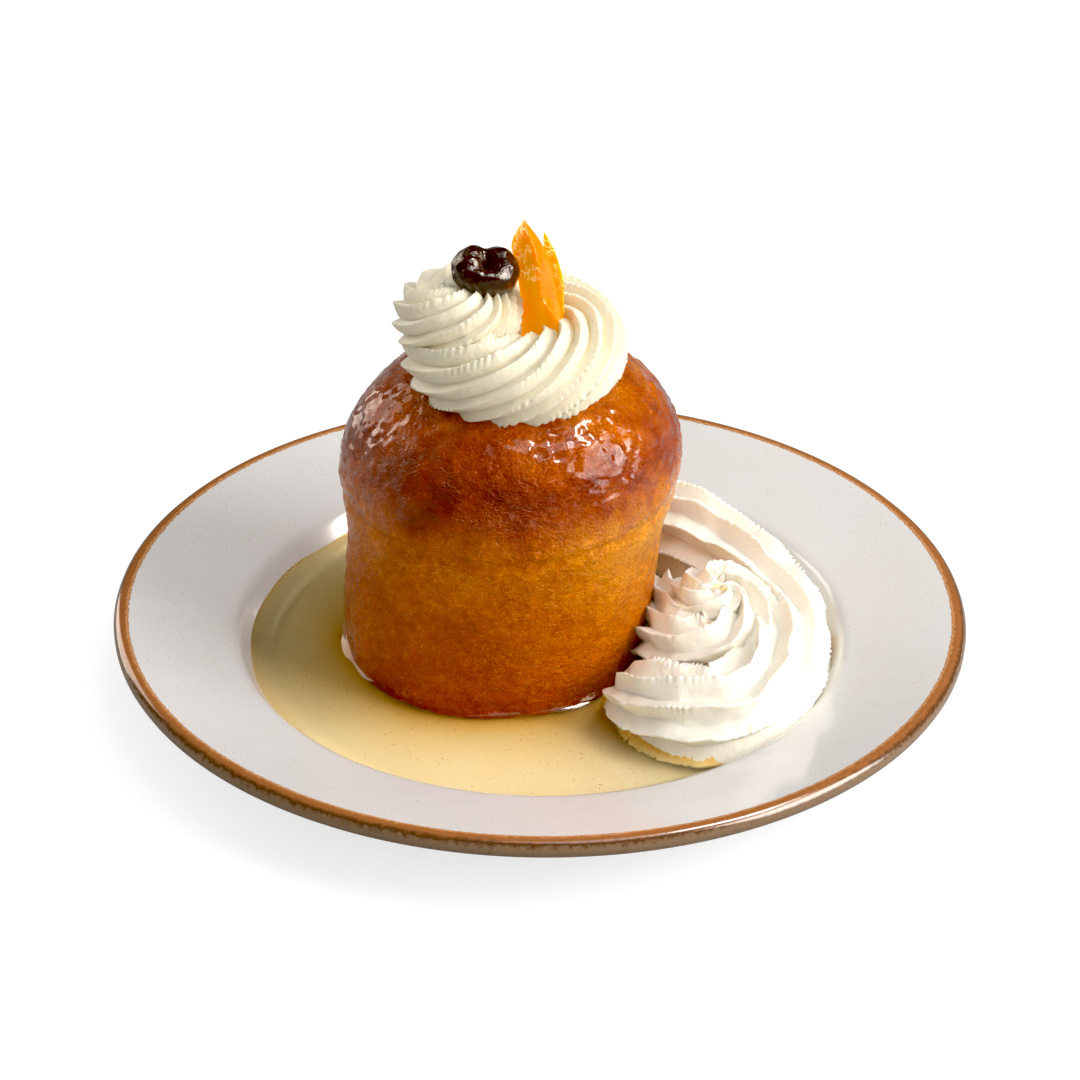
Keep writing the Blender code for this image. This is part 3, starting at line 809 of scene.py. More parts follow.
@dataclass(frozen=True)
class SoakedCrust(Finish):
    """Wet brown crust: dark and red on the head, golden under it, orange-brown below, with painted light
    that makes its right side paler.
    """

    red: Colour = (0.36, 0.036, 0.0008)
    brown: Colour = (0.56, 0.105, 0.0012)
    orange: Colour = (0.66, 0.165, 0.0020)
    gold: Colour = (0.80, 0.255, 0.009)
    shoulder: Colour = (0.66, 0.17, 0.003)
    fibre: Colour = (0.92, 0.42, 0.12)
    sheen: Colour = (1.0, 0.80, 0.66)
    # Painted light: how much paler the lit right side is painted.
    painted_lit_side_tint: Colour = (1.40, 2.1, 3.0)
    scorch: Colour = (0.56, 0.28, 0.3)
    fleck: Colour = (0.66, 0.46, 0.4)
    lit_fibre: Colour = (1.4, 1.85, 2.0)
    ember: Colour = (1.45, 1.5, 1.4)
    gap: Colour = (0.86, 0.70, 0.7)
    band_height: float = 100 * MM
    wander_size: float = 20 * MM
    wander_reach: float = 26 * MM
    # Painted light: where across the cake the paler right side starts and where it is full.
    painted_lit_side_span: Pair = (-6 * MM, 34 * MM)
    scorch_patches: Pair = (9 * MM, 3.4)
    scorch_range: Range = (56 * MM, 74 * MM, 0.45, 1.0)
    fleck_patches: Pair = (2.6 * MM, 3.6)
    fleck_share: float = 0.6
    long_fibres: Triple = (3.4 * MM, 0.30, 2.6)
    short_fibres: Triple = (2.0 * MM, 0.40, 1.8)
    short_squash: Triple = (1.0, 1.0, 1.6)
    short_share: float = 0.85
    fibre_share: float = 0.22
    fibre_range: Range = (40 * MM, 66 * MM, 0.6, 1.0)
    head_start: Pair = (52 * MM, 66 * MM)
    bead_squash: Triple = (1.0, 1.0, 1.7)
    bead_size: float = 1.2 * MM
    bead_range: Pair = (0.59, 0.69)
    bead_wetness: float = 0.8
    film_patches: Pair = (8 * MM, 2.4)
    film_range: Range = (0.3, 0.75, 0.35, 1.0)
    wet_range: Range = (48 * MM, 78 * MM, 0.12, 1.0)
    roughness_range: Range = (0.1, 0.9, 0.12, 0.07)
    fold_squash: Triple = (1.0, 1.0, 1.5)
    folds: Triple = (2.6 * MM, 0.9 * MM, 0.5)
    depths: Triple = (1.3 * MM, 0.20 * MM, 0.30 * MM)

    def build(self) -> Material:
        """Mixes the finish.

        Returns:
            The material.
        """
        glow = {"Subsurface_Weight": 0.12, "Subsurface_Scale": 1.0}
        glow["Subsurface_Radius"] = (1.8 * MM, 0.7 * MM, 0.2 * MM)
        wet = {"Specular_IOR_Level": 0.34, "Specular_Tint": (*self.sheen, 1)}
        wet |= {"Coat_IOR": 1.42, "Coat_Roughness": 0.04}
        bench = Bench(self.groups, "soaked_crust", IOR=1.45, **glow, **wet)
        right, _, height = bench.node("ShaderNodeSeparateXYZ", {0: bench.where}).outputs
        fibres = self.fibres(bench)
        ground = self.baked_with_painted_light(bench, right, height)
        bench.feed("Base Color", self.fibrous(bench, ground, fibres, height))
        beads = bench.bumps(bench.stretched(bench.where, self.bead_squash), self.bead_size, 2.0)
        beads = bench.span(beads, *self.bead_range)
        film = bench.span(bench.mottle(bench.where, *self.film_patches), *self.film_range)
        film = bench.times(film, bench.span(height, *self.wet_range))
        film = bench.math("MAXIMUM", film, bench.times(beads, self.bead_wetness))
        bench.feed("Coat Weight", film)
        bench.feed("Roughness", bench.span(film, *self.roughness_range))
        folds = bench.skin(bench.stretched(bench.where, self.fold_squash), *self.folds)
        bench.bump(*zip((folds, fibres, beads), self.depths))
        return bench.made

    def baked_with_painted_light(self, bench: Bench, right: Socket, height: Socket) -> Socket:
        """Colours the crust as the oven and the mould left it, with painted light that makes its right
        side paler.

        Args:
            bench: The material's bench.
            right: How far to the right each place lies.
            height: How high it lies.

        Returns:
            The colour, without the fibres.
        """
        drift = bench.math("SUBTRACT", bench.bumps(bench.where, self.wander_size, 4.0, 0.6), 0.5)
        wandering = bench.math("ADD", height, bench.times(drift, self.wander_reach))
        stops = [
            (0.06, self.red),
            (0.15, self.brown),
            (0.38, self.orange),
            (0.54, self.gold),
            (0.63, self.gold),
            (0.72, self.brown),
            (0.80, self.red),
            (0.89, self.brown),
            (0.97, self.shoulder),
        ]
        colour = bench.ramp(bench.math("DIVIDE", wandering, self.band_height), stops)
        # Painted light: the right side, where the key lamp falls, is painted paler.
        colour = bench.tinted(colour, self.painted_lit_side_tint, bench.span(right, *self.painted_lit_side_span))
        scorched = bench.mottle(bench.where, *self.scorch_patches)
        scorched = bench.times(scorched, bench.span(height, *self.scorch_range))
        colour = bench.tinted(colour, self.scorch, scorched)
        flecks = bench.times(bench.mottle(bench.where, *self.fleck_patches), self.fleck_share)
        return bench.tinted(colour, self.fleck, flecks)

    def fibres(self, bench: Bench) -> Socket:
        """Draws long and short fibres.

        Args:
            bench: The material's bench.

        Returns:
            A mask, 1 along a fibre.
        """
        long = bench.threads(bench.where, *self.long_fibres)
        short = bench.threads(bench.stretched(bench.where, self.short_squash), *self.short_fibres)
        return bench.math("MAXIMUM", long, bench.times(short, self.short_share))

    def fibrous(self, bench: Bench, ground: Socket, fibres: Socket, height: Socket) -> Socket:
        """Lays the fibres on the crust, pale on the body and glowing on the head.

        Args:
            bench: The material's bench.
            ground: The crust's colour.
            fibres: Where the fibres are.
            height: How high each place lies.

        Returns:
            The colour.
        """
        lighter = bench.mix(self.fibre_share, bench.tinted(ground, self.lit_fibre), self.fibre)
        on_head = bench.span(height, *self.head_start)
        lighter = bench.mix(on_head, lighter, bench.tinted(ground, self.ember))
        shown = bench.times(fibres, bench.span(height, *self.fibre_range))
        return bench.mix(shown, bench.tinted(ground, self.gap), lighter)


@dataclass(frozen=True)
class WhippedCream(Finish):
    """Ivory whipped cream, with a painted yellow shade down in its grooves."""

    name: str = "whipped_cream"
    ivory: Colour = (0.905, 0.865, 0.76)
    # Painted shade: the warm yellow that the grooves are painted with.
    yellow: Colour = (0.93, 0.70, 0.20)
    glow_reach: Triple = (1.3 * MM, 1.05 * MM, 0.7 * MM)
    patches: Pair = (9 * MM, 2.2)
    patch_share: float = 0.8
    least_share: float = 0.2
    # How deep a point lies where the painted groove shade starts and where it is full.
    groove_shade_range: Pair = (0.72, 1.2)
    folds: Triple = (1.8 * MM, 0.55 * MM, 0.4)
    fold_depth: float = 0.22 * MM

    def build(self) -> Material:
        """Mixes the finish.

        Returns:
            The material.
        """
        glow = {"Subsurface_Weight": 0.6, "Subsurface_Scale": 1.0, "Subsurface_Radius": self.glow_reach}
        bench = Bench(self.groups, self.name, Roughness=0.42, IOR=1.4, **glow)
        uneven = bench.times(bench.mottle(bench.where, *self.patches), self.patch_share)
        uneven = bench.math("ADD", uneven, self.least_share)
        # Painted shade: the deeper a point lies in the piping, the more of the yellow it is painted,
        # unevenly.
        groove = bench.span(bench.kept("groove"), *self.groove_shade_range)
        deep = bench.math("MULTIPLY", groove, uneven, clamp=True)
        bench.feed("Base Color", bench.mix(deep, self.ivory, self.yellow))
        bench.bump((bench.skin(bench.where, *self.folds), self.fold_depth))
        return bench.made


@dataclass(frozen=True)
class CherryFlesh(Finish):
    """Near-black red-brown skin in thick syrup."""

    flesh: Colour = (0.014, 0.0018, 0.0013)
    edge: Colour = (0.045, 0.007, 0.006)
    patches: Pair = (3 * MM, 2.0)
    stretch: Triple = (1.0, 1.0, 0.6)
    folds: Triple = (2.0 * MM, 0.8 * MM, 0.2)
    fold_depth: float = 0.7 * MM

    def build(self) -> Material:
        """Mixes the finish.

        Returns:
            The material.
        """
        coat = {"Coat_Weight": 0.4, "Coat_Roughness": 0.03}
        bench = Bench(self.groups, "cherry_flesh", Roughness=0.08, IOR=1.5, **coat)
        cloud = bench.mottle(bench.where, *self.patches)
        bench.feed("Base Color", bench.mix(cloud, self.flesh, self.edge))
        upright = bench.stretched(bench.where, self.stretch)
        bench.bump((bench.skin(upright, *self.folds), self.fold_depth))
        return bench.made


@dataclass(frozen=True)
class CandiedFruit(Finish):
    """Candied fruit, clear enough for light to scatter in it, with a painted glow, white threads of sugar
    and painted glints along a crest.
    """

    name: str = "candied_fruit"
    amber: Colour = (0.95, 0.45, 0.006)
    deep: Colour = (0.92, 0.32, 0.003)
    # The pale colour of the sugar threads, and of the painted glints along the crest.
    sugar_and_glints: Colour = (0.95, 0.86, 0.62)
    # Painted glow: the base colour is dimmed by these factors under the painted glow.
    under_painted_glow: Colour = (0.55, 0.34, 1.0)
    # Painted glow: the strength of the light that the fruit gives off, as if lit from within.
    glow: float = 0.46
    glow_reach: Triple = (7 * MM, 3.2 * MM, 0.5 * MM)
    strands: Pair = (3.0 * MM, 2.0)
    strand_stretch: Triple = (1.0, 1.0, 0.35)
    roughness_range: Range = (0.0, 0.6, 0.13, 0.34)
    fold_stretch: Triple = (1.0, 1.0, 0.5)
    folds: Triple = (1.9 * MM, 0.7 * MM, 0.3)
    fold_depth: float = 0.35 * MM

    def build(self) -> Material:
        """Mixes the finish.

        Returns:
            The material.
        """
        glow = {"Subsurface_Weight": 1.0, "Subsurface_Scale": 1.0, "Subsurface_Radius": self.glow_reach}
        bench = Bench(self.groups, self.name, IOR=1.45, Emission_Strength=self.glow, **glow)
        strands = bench.mottle(bench.stretched(bench.where, self.strand_stretch), *self.strands)
        flesh = bench.mix(strands, self.amber, self.deep)
        # The sugar mask also holds the painted glints along the crest.
        sugar_and_glint_mask = bench.kept("sugar_and_glints")
        bench.feed("Base Color", bench.mix(sugar_and_glint_mask, bench.tinted(flesh, self.under_painted_glow), self.sugar_and_glints))
        # Painted glow: the fruit gives off its own colour as light.
        bench.feed("Emission Color", flesh)
        bench.feed("Roughness", bench.span(sugar_and_glint_mask, *self.roughness_range))
        upright = bench.stretched(bench.where, self.fold_stretch)
        bench.bump((bench.skin(upright, *self.folds), self.fold_depth))
        return bench.made


@dataclass(frozen=True)
class ClearSyrup(Finish):
    """Clear golden syrup that lets light through to the plate, tinted a deeper honey near the cake as
    painted shade.
    """

    pale: Colour = (0.765, 0.73, 0.50)
    # The deeper tint of the painted shade near the cake, and of random patches.
    honey: Colour = (0.92, 0.66, 0.21)
    amber: Colour = (0.84, 0.44, 0.05)
    patches: Pair = (16 * MM, 1.4)
    patch_share: float = 0.3
    folds: Triple = (9 * MM, 3 * MM, 0.2)
    fold_depth: float = 0.03 * MM

    def build(self) -> Material:
        """Mixes the finish, which casts a tinted shadow.

        Returns:
            The material.
        """
        plain = {"Roughness": 0.02, "IOR": 1.4, "Transmission_Weight": 1.0}
        bench = Bench(self.groups, "clear_syrup", **plain)
        cloud = bench.times(bench.mottle(bench.where, *self.patches), self.patch_share)
        # Painted shade: deeper honey near the cake, and random patches of it elsewhere.
        shade_near_cake = bench.math("ADD", bench.kept("cake_shade_nearness"), cloud, clamp=True)
        tint = bench.mix(bench.kept("shore"), bench.mix(shade_near_cake, self.pale, self.honey), self.amber)
        bench.feed("Base Color", tint)
        clear = bench.node("ShaderNodeBsdfTransparent", {"Color": tint}).outputs[0]
        shadow = bench.node("ShaderNodeLightPath").outputs["Is Shadow Ray"]
        either = bench.node("ShaderNodeMixShader", {0: shadow, 1: bench.shader.outputs[0], 2: clear})
        bench.cover(either.outputs[0])
        bench.bump((bench.skin(bench.where, *self.folds), self.fold_depth))
        return bench.made


def finished(piece: Piece, node: str, dress: Material) -> Piece:
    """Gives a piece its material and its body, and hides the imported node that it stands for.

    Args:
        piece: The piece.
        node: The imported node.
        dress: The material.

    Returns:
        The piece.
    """
    piece.data.materials.clear()
    piece.data.materials.append(dress)
    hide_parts(node)
    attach(piece, "root")
    return piece


@dataclass
class Plate:
    """The wide-rimmed plate, turned from its outline."""

    radius: float = 119.8 * MM
    floor: float = 6.0 * MM
    wall_foot: float = 78.9 * MM
    wall_slope: float = math.radians(55.0)
    floor_fillet: float = 9.0 * MM
    lip_fillet: float = 5.0 * MM
    rim_slope: float = math.radians(14.5)
    edge_radius: float = 2.7 * MM
    edge_height: float = 21.1 * MM
    edge_end: float = math.radians(-80)
    foot_outer: float = 68.0 * MM
    foot_inner: float = 64.0 * MM
    foot_draft: float = 2.0 * MM
    underside: float = 1.8 * MM
    wall: float = 4.4 * MM
    under_fillet: float = 6.0 * MM
    hub: float = 1.0 * MM
    foot_break: float = 0.35 * MM
    foot_bevel: Pair = (0.3 * MM, 0.25 * MM)
    arc_points: int = 14
    edge_points: int = 26
    under_points: int = 10
    segments: int = 320
    step: float = 1.2 * MM
    lumps: tuple = ((0.10 * MM, 24 * MM, 0.0), (0.03 * MM, 5 * MM, 0.0))
    even_edge: float = 6 * MM
    even_foot: Pair = (1.0 * MM, 3.0 * MM)

    @staticmethod
    def fillet(before: tuple, corner: tuple, after: tuple, radius: float, count: int) -> list[tuple]:
        """Rounds the corner between two straight runs.

        Args:
            before: A point (radius, height) on the first run.
            corner: Where the runs would meet.
            after: A point on the second run.
            radius: The radius of the arc.
            count: How many points it has.

        Returns:
            The arc's points.
        """
        before, corner, after = (np.asarray(p, float) for p in (before, corner, after))
        one = (before - corner) / np.linalg.norm(before - corner)
        two = (after - corner) / np.linalg.norm(after - corner)
        half = math.acos(float(one @ two)) / 2
        middle = corner + (one + two) / np.linalg.norm(one + two) * radius / math.sin(half)
        start = corner + one * radius / math.tan(half) - middle
        end = corner + two * radius / math.tan(half) - middle
        sweep = math.pi - 2 * half
        points = []
        for share in np.linspace(0, 1, count):
            a = math.sin((1 - share) * sweep) / math.sin(sweep)
            b = math.sin(share * sweep) / math.sin(sweep)
            points.append(tuple(middle + a * start + b * end))
        return points

    def edge_point(self, turn: float, grow: float) -> tuple[float, float]:
        """A point of the rounded edge.

        Args:
            turn: Its turn from straight out.
            grow: How far the surface is moved out.

        Returns:
            Its radius and height.
        """
        reach = self.edge_radius + grow
        centre = (self.radius - self.edge_radius, self.edge_height)
        return centre[0] + reach * math.cos(turn), centre[1] + reach * math.sin(turn)

    def corners(self, grow: float) -> tuple[tuple, tuple, tuple]:
        """The upper surface's corners before they are rounded.

        Args:
            grow: How far the surface is moved out.

        Returns:
            The wall's foot, the lip and where the rounded edge begins, each (radius, height).
        """
        foot = (self.wall_foot - grow * math.tan(self.wall_slope / 2), self.floor + grow)
        edge = self.edge_point(math.pi / 2 + self.rim_slope, grow)
        rise = edge[1] - foot[1] - (edge[0] - foot[0]) * math.tan(self.rim_slope)
        run = rise / (math.tan(self.wall_slope) - math.tan(self.rim_slope))
        return foot, (foot[0] + run, foot[1] + run * math.tan(self.wall_slope)), edge

    def upper(self, grow: float = 0.0) -> list[tuple[float, float]]:
        """The upper surface, from near the middle out and round the edge.

        Args:
            grow: How far the surface is moved out.

        Returns:
            Its points (radius, height).
        """
        foot, lip, edge = self.corners(grow)
        points = [(self.hub, foot[1])]
        points += self.fillet((0.0, foot[1]), foot, lip, self.floor_fillet, self.arc_points)
        points += self.fillet(foot, lip, edge, self.lip_fillet, self.arc_points)
        for turn in np.linspace(math.pi / 2 + self.rim_slope, self.edge_end, self.edge_points):
            points.append(self.edge_point(turn, grow))
        return points

    def outline(self) -> Array:
        """The whole outline, its straight runs divided and its corners eased.

        Returns:
            Rows of radius and height.
        """
        _, lip, _ = self.corners(0.0)
        points = self.upper()
        foot_top = (self.foot_outer + self.foot_draft, self.underside)
        under_lip = (lip[0] + self.wall, lip[1] - self.wall)
        points += self.fillet(points[-1], under_lip, foot_top, self.under_fillet, self.under_points)
        flat, rise = self.foot_bevel
        points += [
            foot_top,
            (self.foot_outer + self.foot_break, rise),
            (self.foot_outer - flat, 0.0),
            (self.foot_inner + flat, 0.0),
            (self.foot_inner - self.foot_break, rise),
            (self.foot_inner - self.foot_draft, self.underside),
            (self.hub, self.underside),
        ]
        return evenly(np.column_stack([points, np.zeros(len(points))]), self.step)[:, :2]

    def build(self, dress: Material) -> Piece:
        """Turns the plate, with the small unevenness of thrown clay.

        Args:
            dress: Its material.

        Returns:
            The plate.
        """
        piece = turned("stoneware_plate", self.outline(), self.segments)
        spots = places(piece.data)
        lumps = bumpy(Relief(11), spots, self.lumps)
        out = np.hypot(spots[:, 0], spots[:, 1])
        inward = smooth_step(self.radius, self.radius - self.even_edge, out)
        push(piece.data, lumps * inward * smooth_step(*self.even_foot, spots[:, 2]))
        return finished(piece, "plate", dress)


@dataclass
class Cake:
    """The baba: a body that leans a little, with a head that has swollen over its mould."""

    foot: Vector = place_field(-12.8, 2.1, 6.3)
    crown: Vector = place_field(-6.3, 2.1, 98.7)
    foot_radius: float = 41.9 * MM
    mould_radius: float = 42.8 * MM
    collar_radius: float = 44.3 * MM
    head_radius: float = 46.8 * MM
    mould_height: float = 28.0 * MM
    collar_height: float = 46.0 * MM
    head_height: float = 66.7 * MM
    foot_rounding: float = 4.0 * MM
    squareness: float = 2.6
    crease_height: float = 60.0 * MM
    crease_climb: float = 4.0 * MM
    crease_depth: float = 1.3 * MM
    crease_width: float = 1.9 * MM
    crease_bearing: float = math.radians(-115)
    swell_depth: float = 1.0 * MM
    swell_length: float = 45.0 * MM
    swell_turns: float = 1.7
    lumps: tuple = ((0.55 * MM, 16 * MM, 0.0),)
    wrinkle_size: Triple = (5.0 * MM, 5.0 * MM, 2.8 * MM)
    wrinkle_height: float = 0.34 * MM
    wave_size: Triple = (4.2 * MM, 4.2 * MM, 1.9 * MM)
    wave_height: float = 0.26 * MM
    usual_fold: float = 0.6
    pits: tuple = ((0.20 * MM, 2.1 * MM, 0.3), (0.10 * MM, 1.3 * MM, 0.7))
    head_start: Pair = (62 * MM, 76 * MM)
    shrinkage: float = 0.15 * MM
    columns: int = 380
    rows: int = 240
    row_shares: Triple = (0.08, 0.52, 0.40)
    dome_turns: Pair = (0.02, 1.53)

    def radius(self, height: Array, bearing: Array) -> Array:
        """The radius about the leaning axis.

        Args:
            height: Heights above the table.
            bearing: Bearings, of a shape that fits the heights'.

        Returns:
            The radii.
        """
        low, collar, head = self.foot.z, self.collar_height, self.head_height
        radius = np.full(np.broadcast(height, bearing).shape, self.foot_radius)
        radius += (self.mould_radius - self.foot_radius) * smooth_step(low, self.mould_height, height)
        radius += (self.collar_radius - self.mould_radius) * smooth_step(low, collar, height)
        radius += (self.head_radius - self.collar_radius) * smooth_step(collar, head, height)
        above = np.clip((height - low) / self.foot_rounding, 0.0, 1.0)
        radius -= self.foot_rounding * (1 - np.sqrt(1 - (1 - above) ** 2))
        share = np.clip((height - head) / (self.crown.z - head), 0.0, 1.0)
        radius = radius * (1 - share**self.squareness) ** (1 / self.squareness)
        crease = self.crease_height + self.crease_climb * np.maximum(0.0, np.cos(bearing))
        depth = self.crease_depth * (0.6 + 0.4 * np.cos(bearing - self.crease_bearing))
        return radius - depth * np.exp(-(((height - crease) / self.crease_width) ** 2))

    def swell(self, heights: Array, bearings: Array) -> Array:
        """How far the cake bulges.

        Args:
            heights: The heights of points.
            bearings: Their bearings.

        Returns:
            How far each is moved out.
        """
        spots = zip(np.cos(bearings), np.sin(bearings), heights / self.swell_length)
        swells = [noise.noise(Vector(spot) * self.swell_turns) for spot in spots]
        return self.swell_depth * np.array(swells)

    def axis(self, height: Array) -> Array:
        """The leaning axis at heights, as an array of x and y."""
        share = (height - self.foot.z) / (self.crown.z - self.foot.z)
        return np.stack([self.foot[k] + (self.crown[k] - self.foot[k]) * share for k in (0, 1)], axis=-1)

    def rings(self, grow: float, rows: int, columns: int) -> Array:
        """Rings from the foot to the crown.

        Args:
            grow: How far they are moved out.
            rows: How many rings there are.
            columns: How many points each has.

        Returns:
            An array of rings, of points, of x, y and z.
        """
        base_rows, side_rows, dome_rows = (round(rows * share) for share in self.row_shares)
        tall = self.crown.z - self.head_height
        side = np.linspace(self.foot.z + self.foot_rounding, self.head_height, side_rows)
        dome = self.head_height + tall * np.sin(np.linspace(*self.dome_turns, dome_rows))
        quarter = np.linspace(0, math.pi / 2, base_rows, endpoint=False)
        base = self.foot.z + self.foot_rounding * (1 - np.cos(quarter))
        heights = np.concatenate([base, side, dome])[:, None]
        bearings = np.linspace(0, TURN, columns, endpoint=False)[None, :]
        radius = self.radius(heights, bearings)
        swell = self.swell(np.repeat(heights[:, 0], columns), np.tile(bearings[0], len(heights)))
        radius = radius + swell.reshape(radius.shape) * radius / self.head_radius + grow
        raised = heights + grow * smooth_step(self.head_height, self.crown.z, heights)
        made = ring_points(self.axis(heights[:, 0]), radius, bearings, raised)
        made[0, :, 2] -= grow
        return made

    def cutter(self, inset: float, columns: int = 120) -> Piece:
        """A plainer cake that much smaller, to cut what reaches into it."""
        return loft("cake_inside", self.rings(-inset, 60, columns))

    def build(self, dress: Material) -> Piece:
        """Makes the cake, its crust wrinkled and pitted.

        Args:
            dress: Its material.

        Returns:
            The cake.
        """
        piece = loft("soaked_baba", self.rings(0.0, self.rows, self.columns))
        spots = places(piece.data)
        relief = Relief(21)
        head = smooth_step(*self.head_start, spots[:, 2])
        wrinkles = 1 - np.abs(relief.at(spots, self.wrinkle_size)) - self.usual_fold
        waves = 1 - np.abs(relief.at(spots + 0.5, self.wave_size)) - self.usual_fold
        rough = bumpy(relief, spots, self.lumps)
        rough += self.wrinkle_height * wrinkles * (0.6 + 0.4 * head)
        rough += self.wave_height * waves
        push(piece.data, bumpy(relief, spots, self.pits, rough) - self.shrinkage)
        return finished(piece, "baba", dress)


@dataclass
class Piping:
    """Cream piped from a star nozzle along a route."""

    ridges: int
    depth: float = 0.27
    fall: float = 0.95
    swell: float = 0.70
    lean: float = 0.24
    tooth_pitch: float = 1.25 * MM
    tooth_height: float = 0.85 * MM
    tooth_level: float = 0.62
    usual_radius: float = 12.5 * MM
    inner_room: float = 0.9
    start_rounding: float = 8.0 * MM
    end_rounding: float = 6.0 * MM
    joint_rounding: float = 2.0 * MM
    bluntness: float = 0.02
    across: tuple[float, ...] = (
        0.0, 0.035, 0.08, 0.14, 0.20, 0.26, 0.34, 0.44, 0.54, 0.64, 0.74, 0.83, 0.91, 0.96,
    )

    def star(self) -> tuple[Array, Array, Array]:
        """The nozzle's outline.

        Returns:
            The turn of each point, how far it stands out from 0 in a groove to 1 on a crest, and
            the number of its nearest crest.
        """
        share = np.array(self.across)
        turns = np.concatenate([(i + share) / self.ridges for i in range(self.ridges)]) * TURN
        off = np.where(share < self.lean, share / self.lean, (1 - share) / (1 - self.lean))
        stand = np.tile((1 - off) ** np.where(share < self.lean, self.fall, self.swell), self.ridges)
        crest = np.concatenate([i + (share > 0.5) for i in range(self.ridges)]) % self.ridges
        return turns, stand, crest

    def rings(self, curve: Array, seed: int, smooth: bool = False) -> Array:
        """Rings along rows of (x, y, z, radius, turn of the ridges).

        Args:
            curve: The route.
            seed: Which random teeth the crests get.
            smooth: Whether to leave the ridges out.

        Returns:
            An array of rings, of points, of x, y and z, before the ends are rounded.
        """
        spots, radii, twists = curve[:, :3], curve[:, 3], curve[:, 4]
        tangents = np.gradient(spots, axis=0)
        tangents /= np.linalg.norm(tangents, axis=1)[:, None]
        headings = np.unwrap(np.arctan2(tangents[:, 1], tangents[:, 0]))
        lengths = run_lengths(spots)
        bends = np.gradient(headings) / np.gradient(lengths)
        side = np.column_stack([tangents[:, 1], -tangents[:, 0], np.zeros(len(curve))])
        side /= np.linalg.norm(side, axis=1)[:, None]
        above = np.cross(side, tangents)
        turns, stand, crest = self.star()
        size = np.ones((len(curve), len(turns)))
        if not smooth:
            size = self.cut_ridges(lengths, stand, crest, seed)
        angle = turns[None, :] + twists[:, None]
        outward, upward = np.cos(angle), np.sin(angle)
        tight = (bends * radii)[:, None]
        room = np.where(tight > self.inner_room, self.inner_room / np.maximum(tight, 1e-6), 1.0)
        outward = np.where(outward < 0, outward * room, outward)
        reach = radii[:, None] * size
        beside = (reach * outward)[:, :, None] * side[:, None, :]
        return spots[:, None, :] + beside + (reach * upward)[:, :, None] * above[:, None, :]

    def cut_ridges(self, lengths: Array, stand: Array, crest: Array, seed: int) -> Array:
        """Cuts the ridges and their teeth.

        Args:
            lengths: How far along the rope each ring lies.
            stand: How far out each point of the nozzle's outline stands, from 0 to 1.
            crest: The number of its nearest crest.
            seed: Which random teeth the crests get.

        Returns:
            How far each point stands from the rope's line, as a share of its radius.
        """
        relief = Relief(seed)
        along = np.repeat(lengths[:, None], len(stand), axis=1)
        lane = np.repeat(crest[None, :] * 3.7, len(lengths), axis=0)
        spots = np.stack([along, lane, np.zeros_like(along)], axis=-1).reshape(-1, 3)
        slow = relief.at(spots, (9 * MM, 1.0, 1.0)).reshape(along.shape)
        jitter = relief.at(spots + 5.0, (3.2 * MM, 1.0, 1.0)).reshape(along.shape)
        teeth = np.abs(np.sin(math.pi * along / self.tooth_pitch + 4.0 * jitter + lane))
        near = np.clip((stand - 0.5) / 0.5, 0.0, 1.0) ** 1.5
        size = 1 - self.depth * (1 + 0.14 * slow) * (1 - stand)
        strength = np.clip(0.7 + 1.1 * jitter + 0.5 * slow, 0.1, 1.3)
        return size + near * (teeth - self.tooth_level) * strength * self.tooth_height / self.usual_radius

    def pieces(
        self, name: str, curve: Array, count: int, overlap: int, seed: int, grow: float = 0.0
    ) -> list[Piece]:
        """Closed bodies along a route, short enough that none meets itself, overlapping end to end.

        Args:
            name: What the bodies are called.
            curve: The route.
            count: How many bodies there are.
            overlap: By how many rings each passes its neighbour.
            seed: Which random teeth the crests get.
            grow: With any, smooth tubes are made that stand that far outside the crests.

        Returns:
            The bodies.
        """
        curve = curve.copy()
        curve[:, 3] += grow
        lengths = run_lengths(curve[:, :3])
        rings = self.rings(curve, seed, smooth=grow != 0)
        edges = np.linspace(0, len(curve), count + 1).astype(int)
        made = []
        for i, (start, end) in enumerate(zip(edges, edges[1:])):
            part = slice(max(0, start - overlap), min(len(curve), end + overlap))
            runs = lengths[part] - lengths[part][0]
            ends = np.ones(len(runs))
            roundings = (
                self.start_rounding if i == 0 else self.joint_rounding,
                self.end_rounding if i == count - 1 else self.joint_rounding,
            )
            for run, rounding in zip((runs, runs[-1] - runs), roundings):
                share = np.minimum(1.0, run / rounding + self.bluntness)
                ends *= np.sqrt(1 - (1 - share) ** 2)
            spots = curve[part, None, :3]
            made.append(loft(f"{name}_{i}", spots + (rings[part] - spots) * ends[:, None, None]))
        return made


def cone(name: str, ends: tuple, sides: int = 40, grow: float = 0.0) -> Piece:
    """A cone between two rings.

    Args:
        name: The object's name.
        ends: The foot and the top, each (right, back, height, radius) in millimetres.
        sides: How many sides it has.
        grow: How far it is moved out.

    Returns:
        The object.
    """
    rows = np.array(ends) * MM
    turns = np.linspace(0, TURN, sides, endpoint=False)
    return loft(name, ring_points(rows[:, :2], rows[:, 3:] + grow, turns, rows[:, 2:3]))


def groove_depths(mesh: Mesh, curves: list[Array], depth: float) -> Array:
    """How deep each point lies in the piping.

    Args:
        mesh: The piping's mesh.
        curves: The ropes' routes.
        depth: How deep a groove is, as a share of the rope's radius.

    Returns:
        0 for a point on a crest, 1 in a groove and more further in.
    """
    rows, distances = nearest_rows(mesh, np.vstack([curve[::3] for curve in curves]))
    return np.clip((1 - distances / rows[:, 3]) / depth, 0.0, 1.6)


def roughen_cream(mesh: Mesh, seed: int) -> None:
    """Gives piped cream its small lumps and pulls.

    Args:
        mesh: The cream's mesh.
        seed: Which random lumps it gets.
    """
    push(mesh, bumpy(Relief(seed), places(mesh), CREAM_LUMPS))


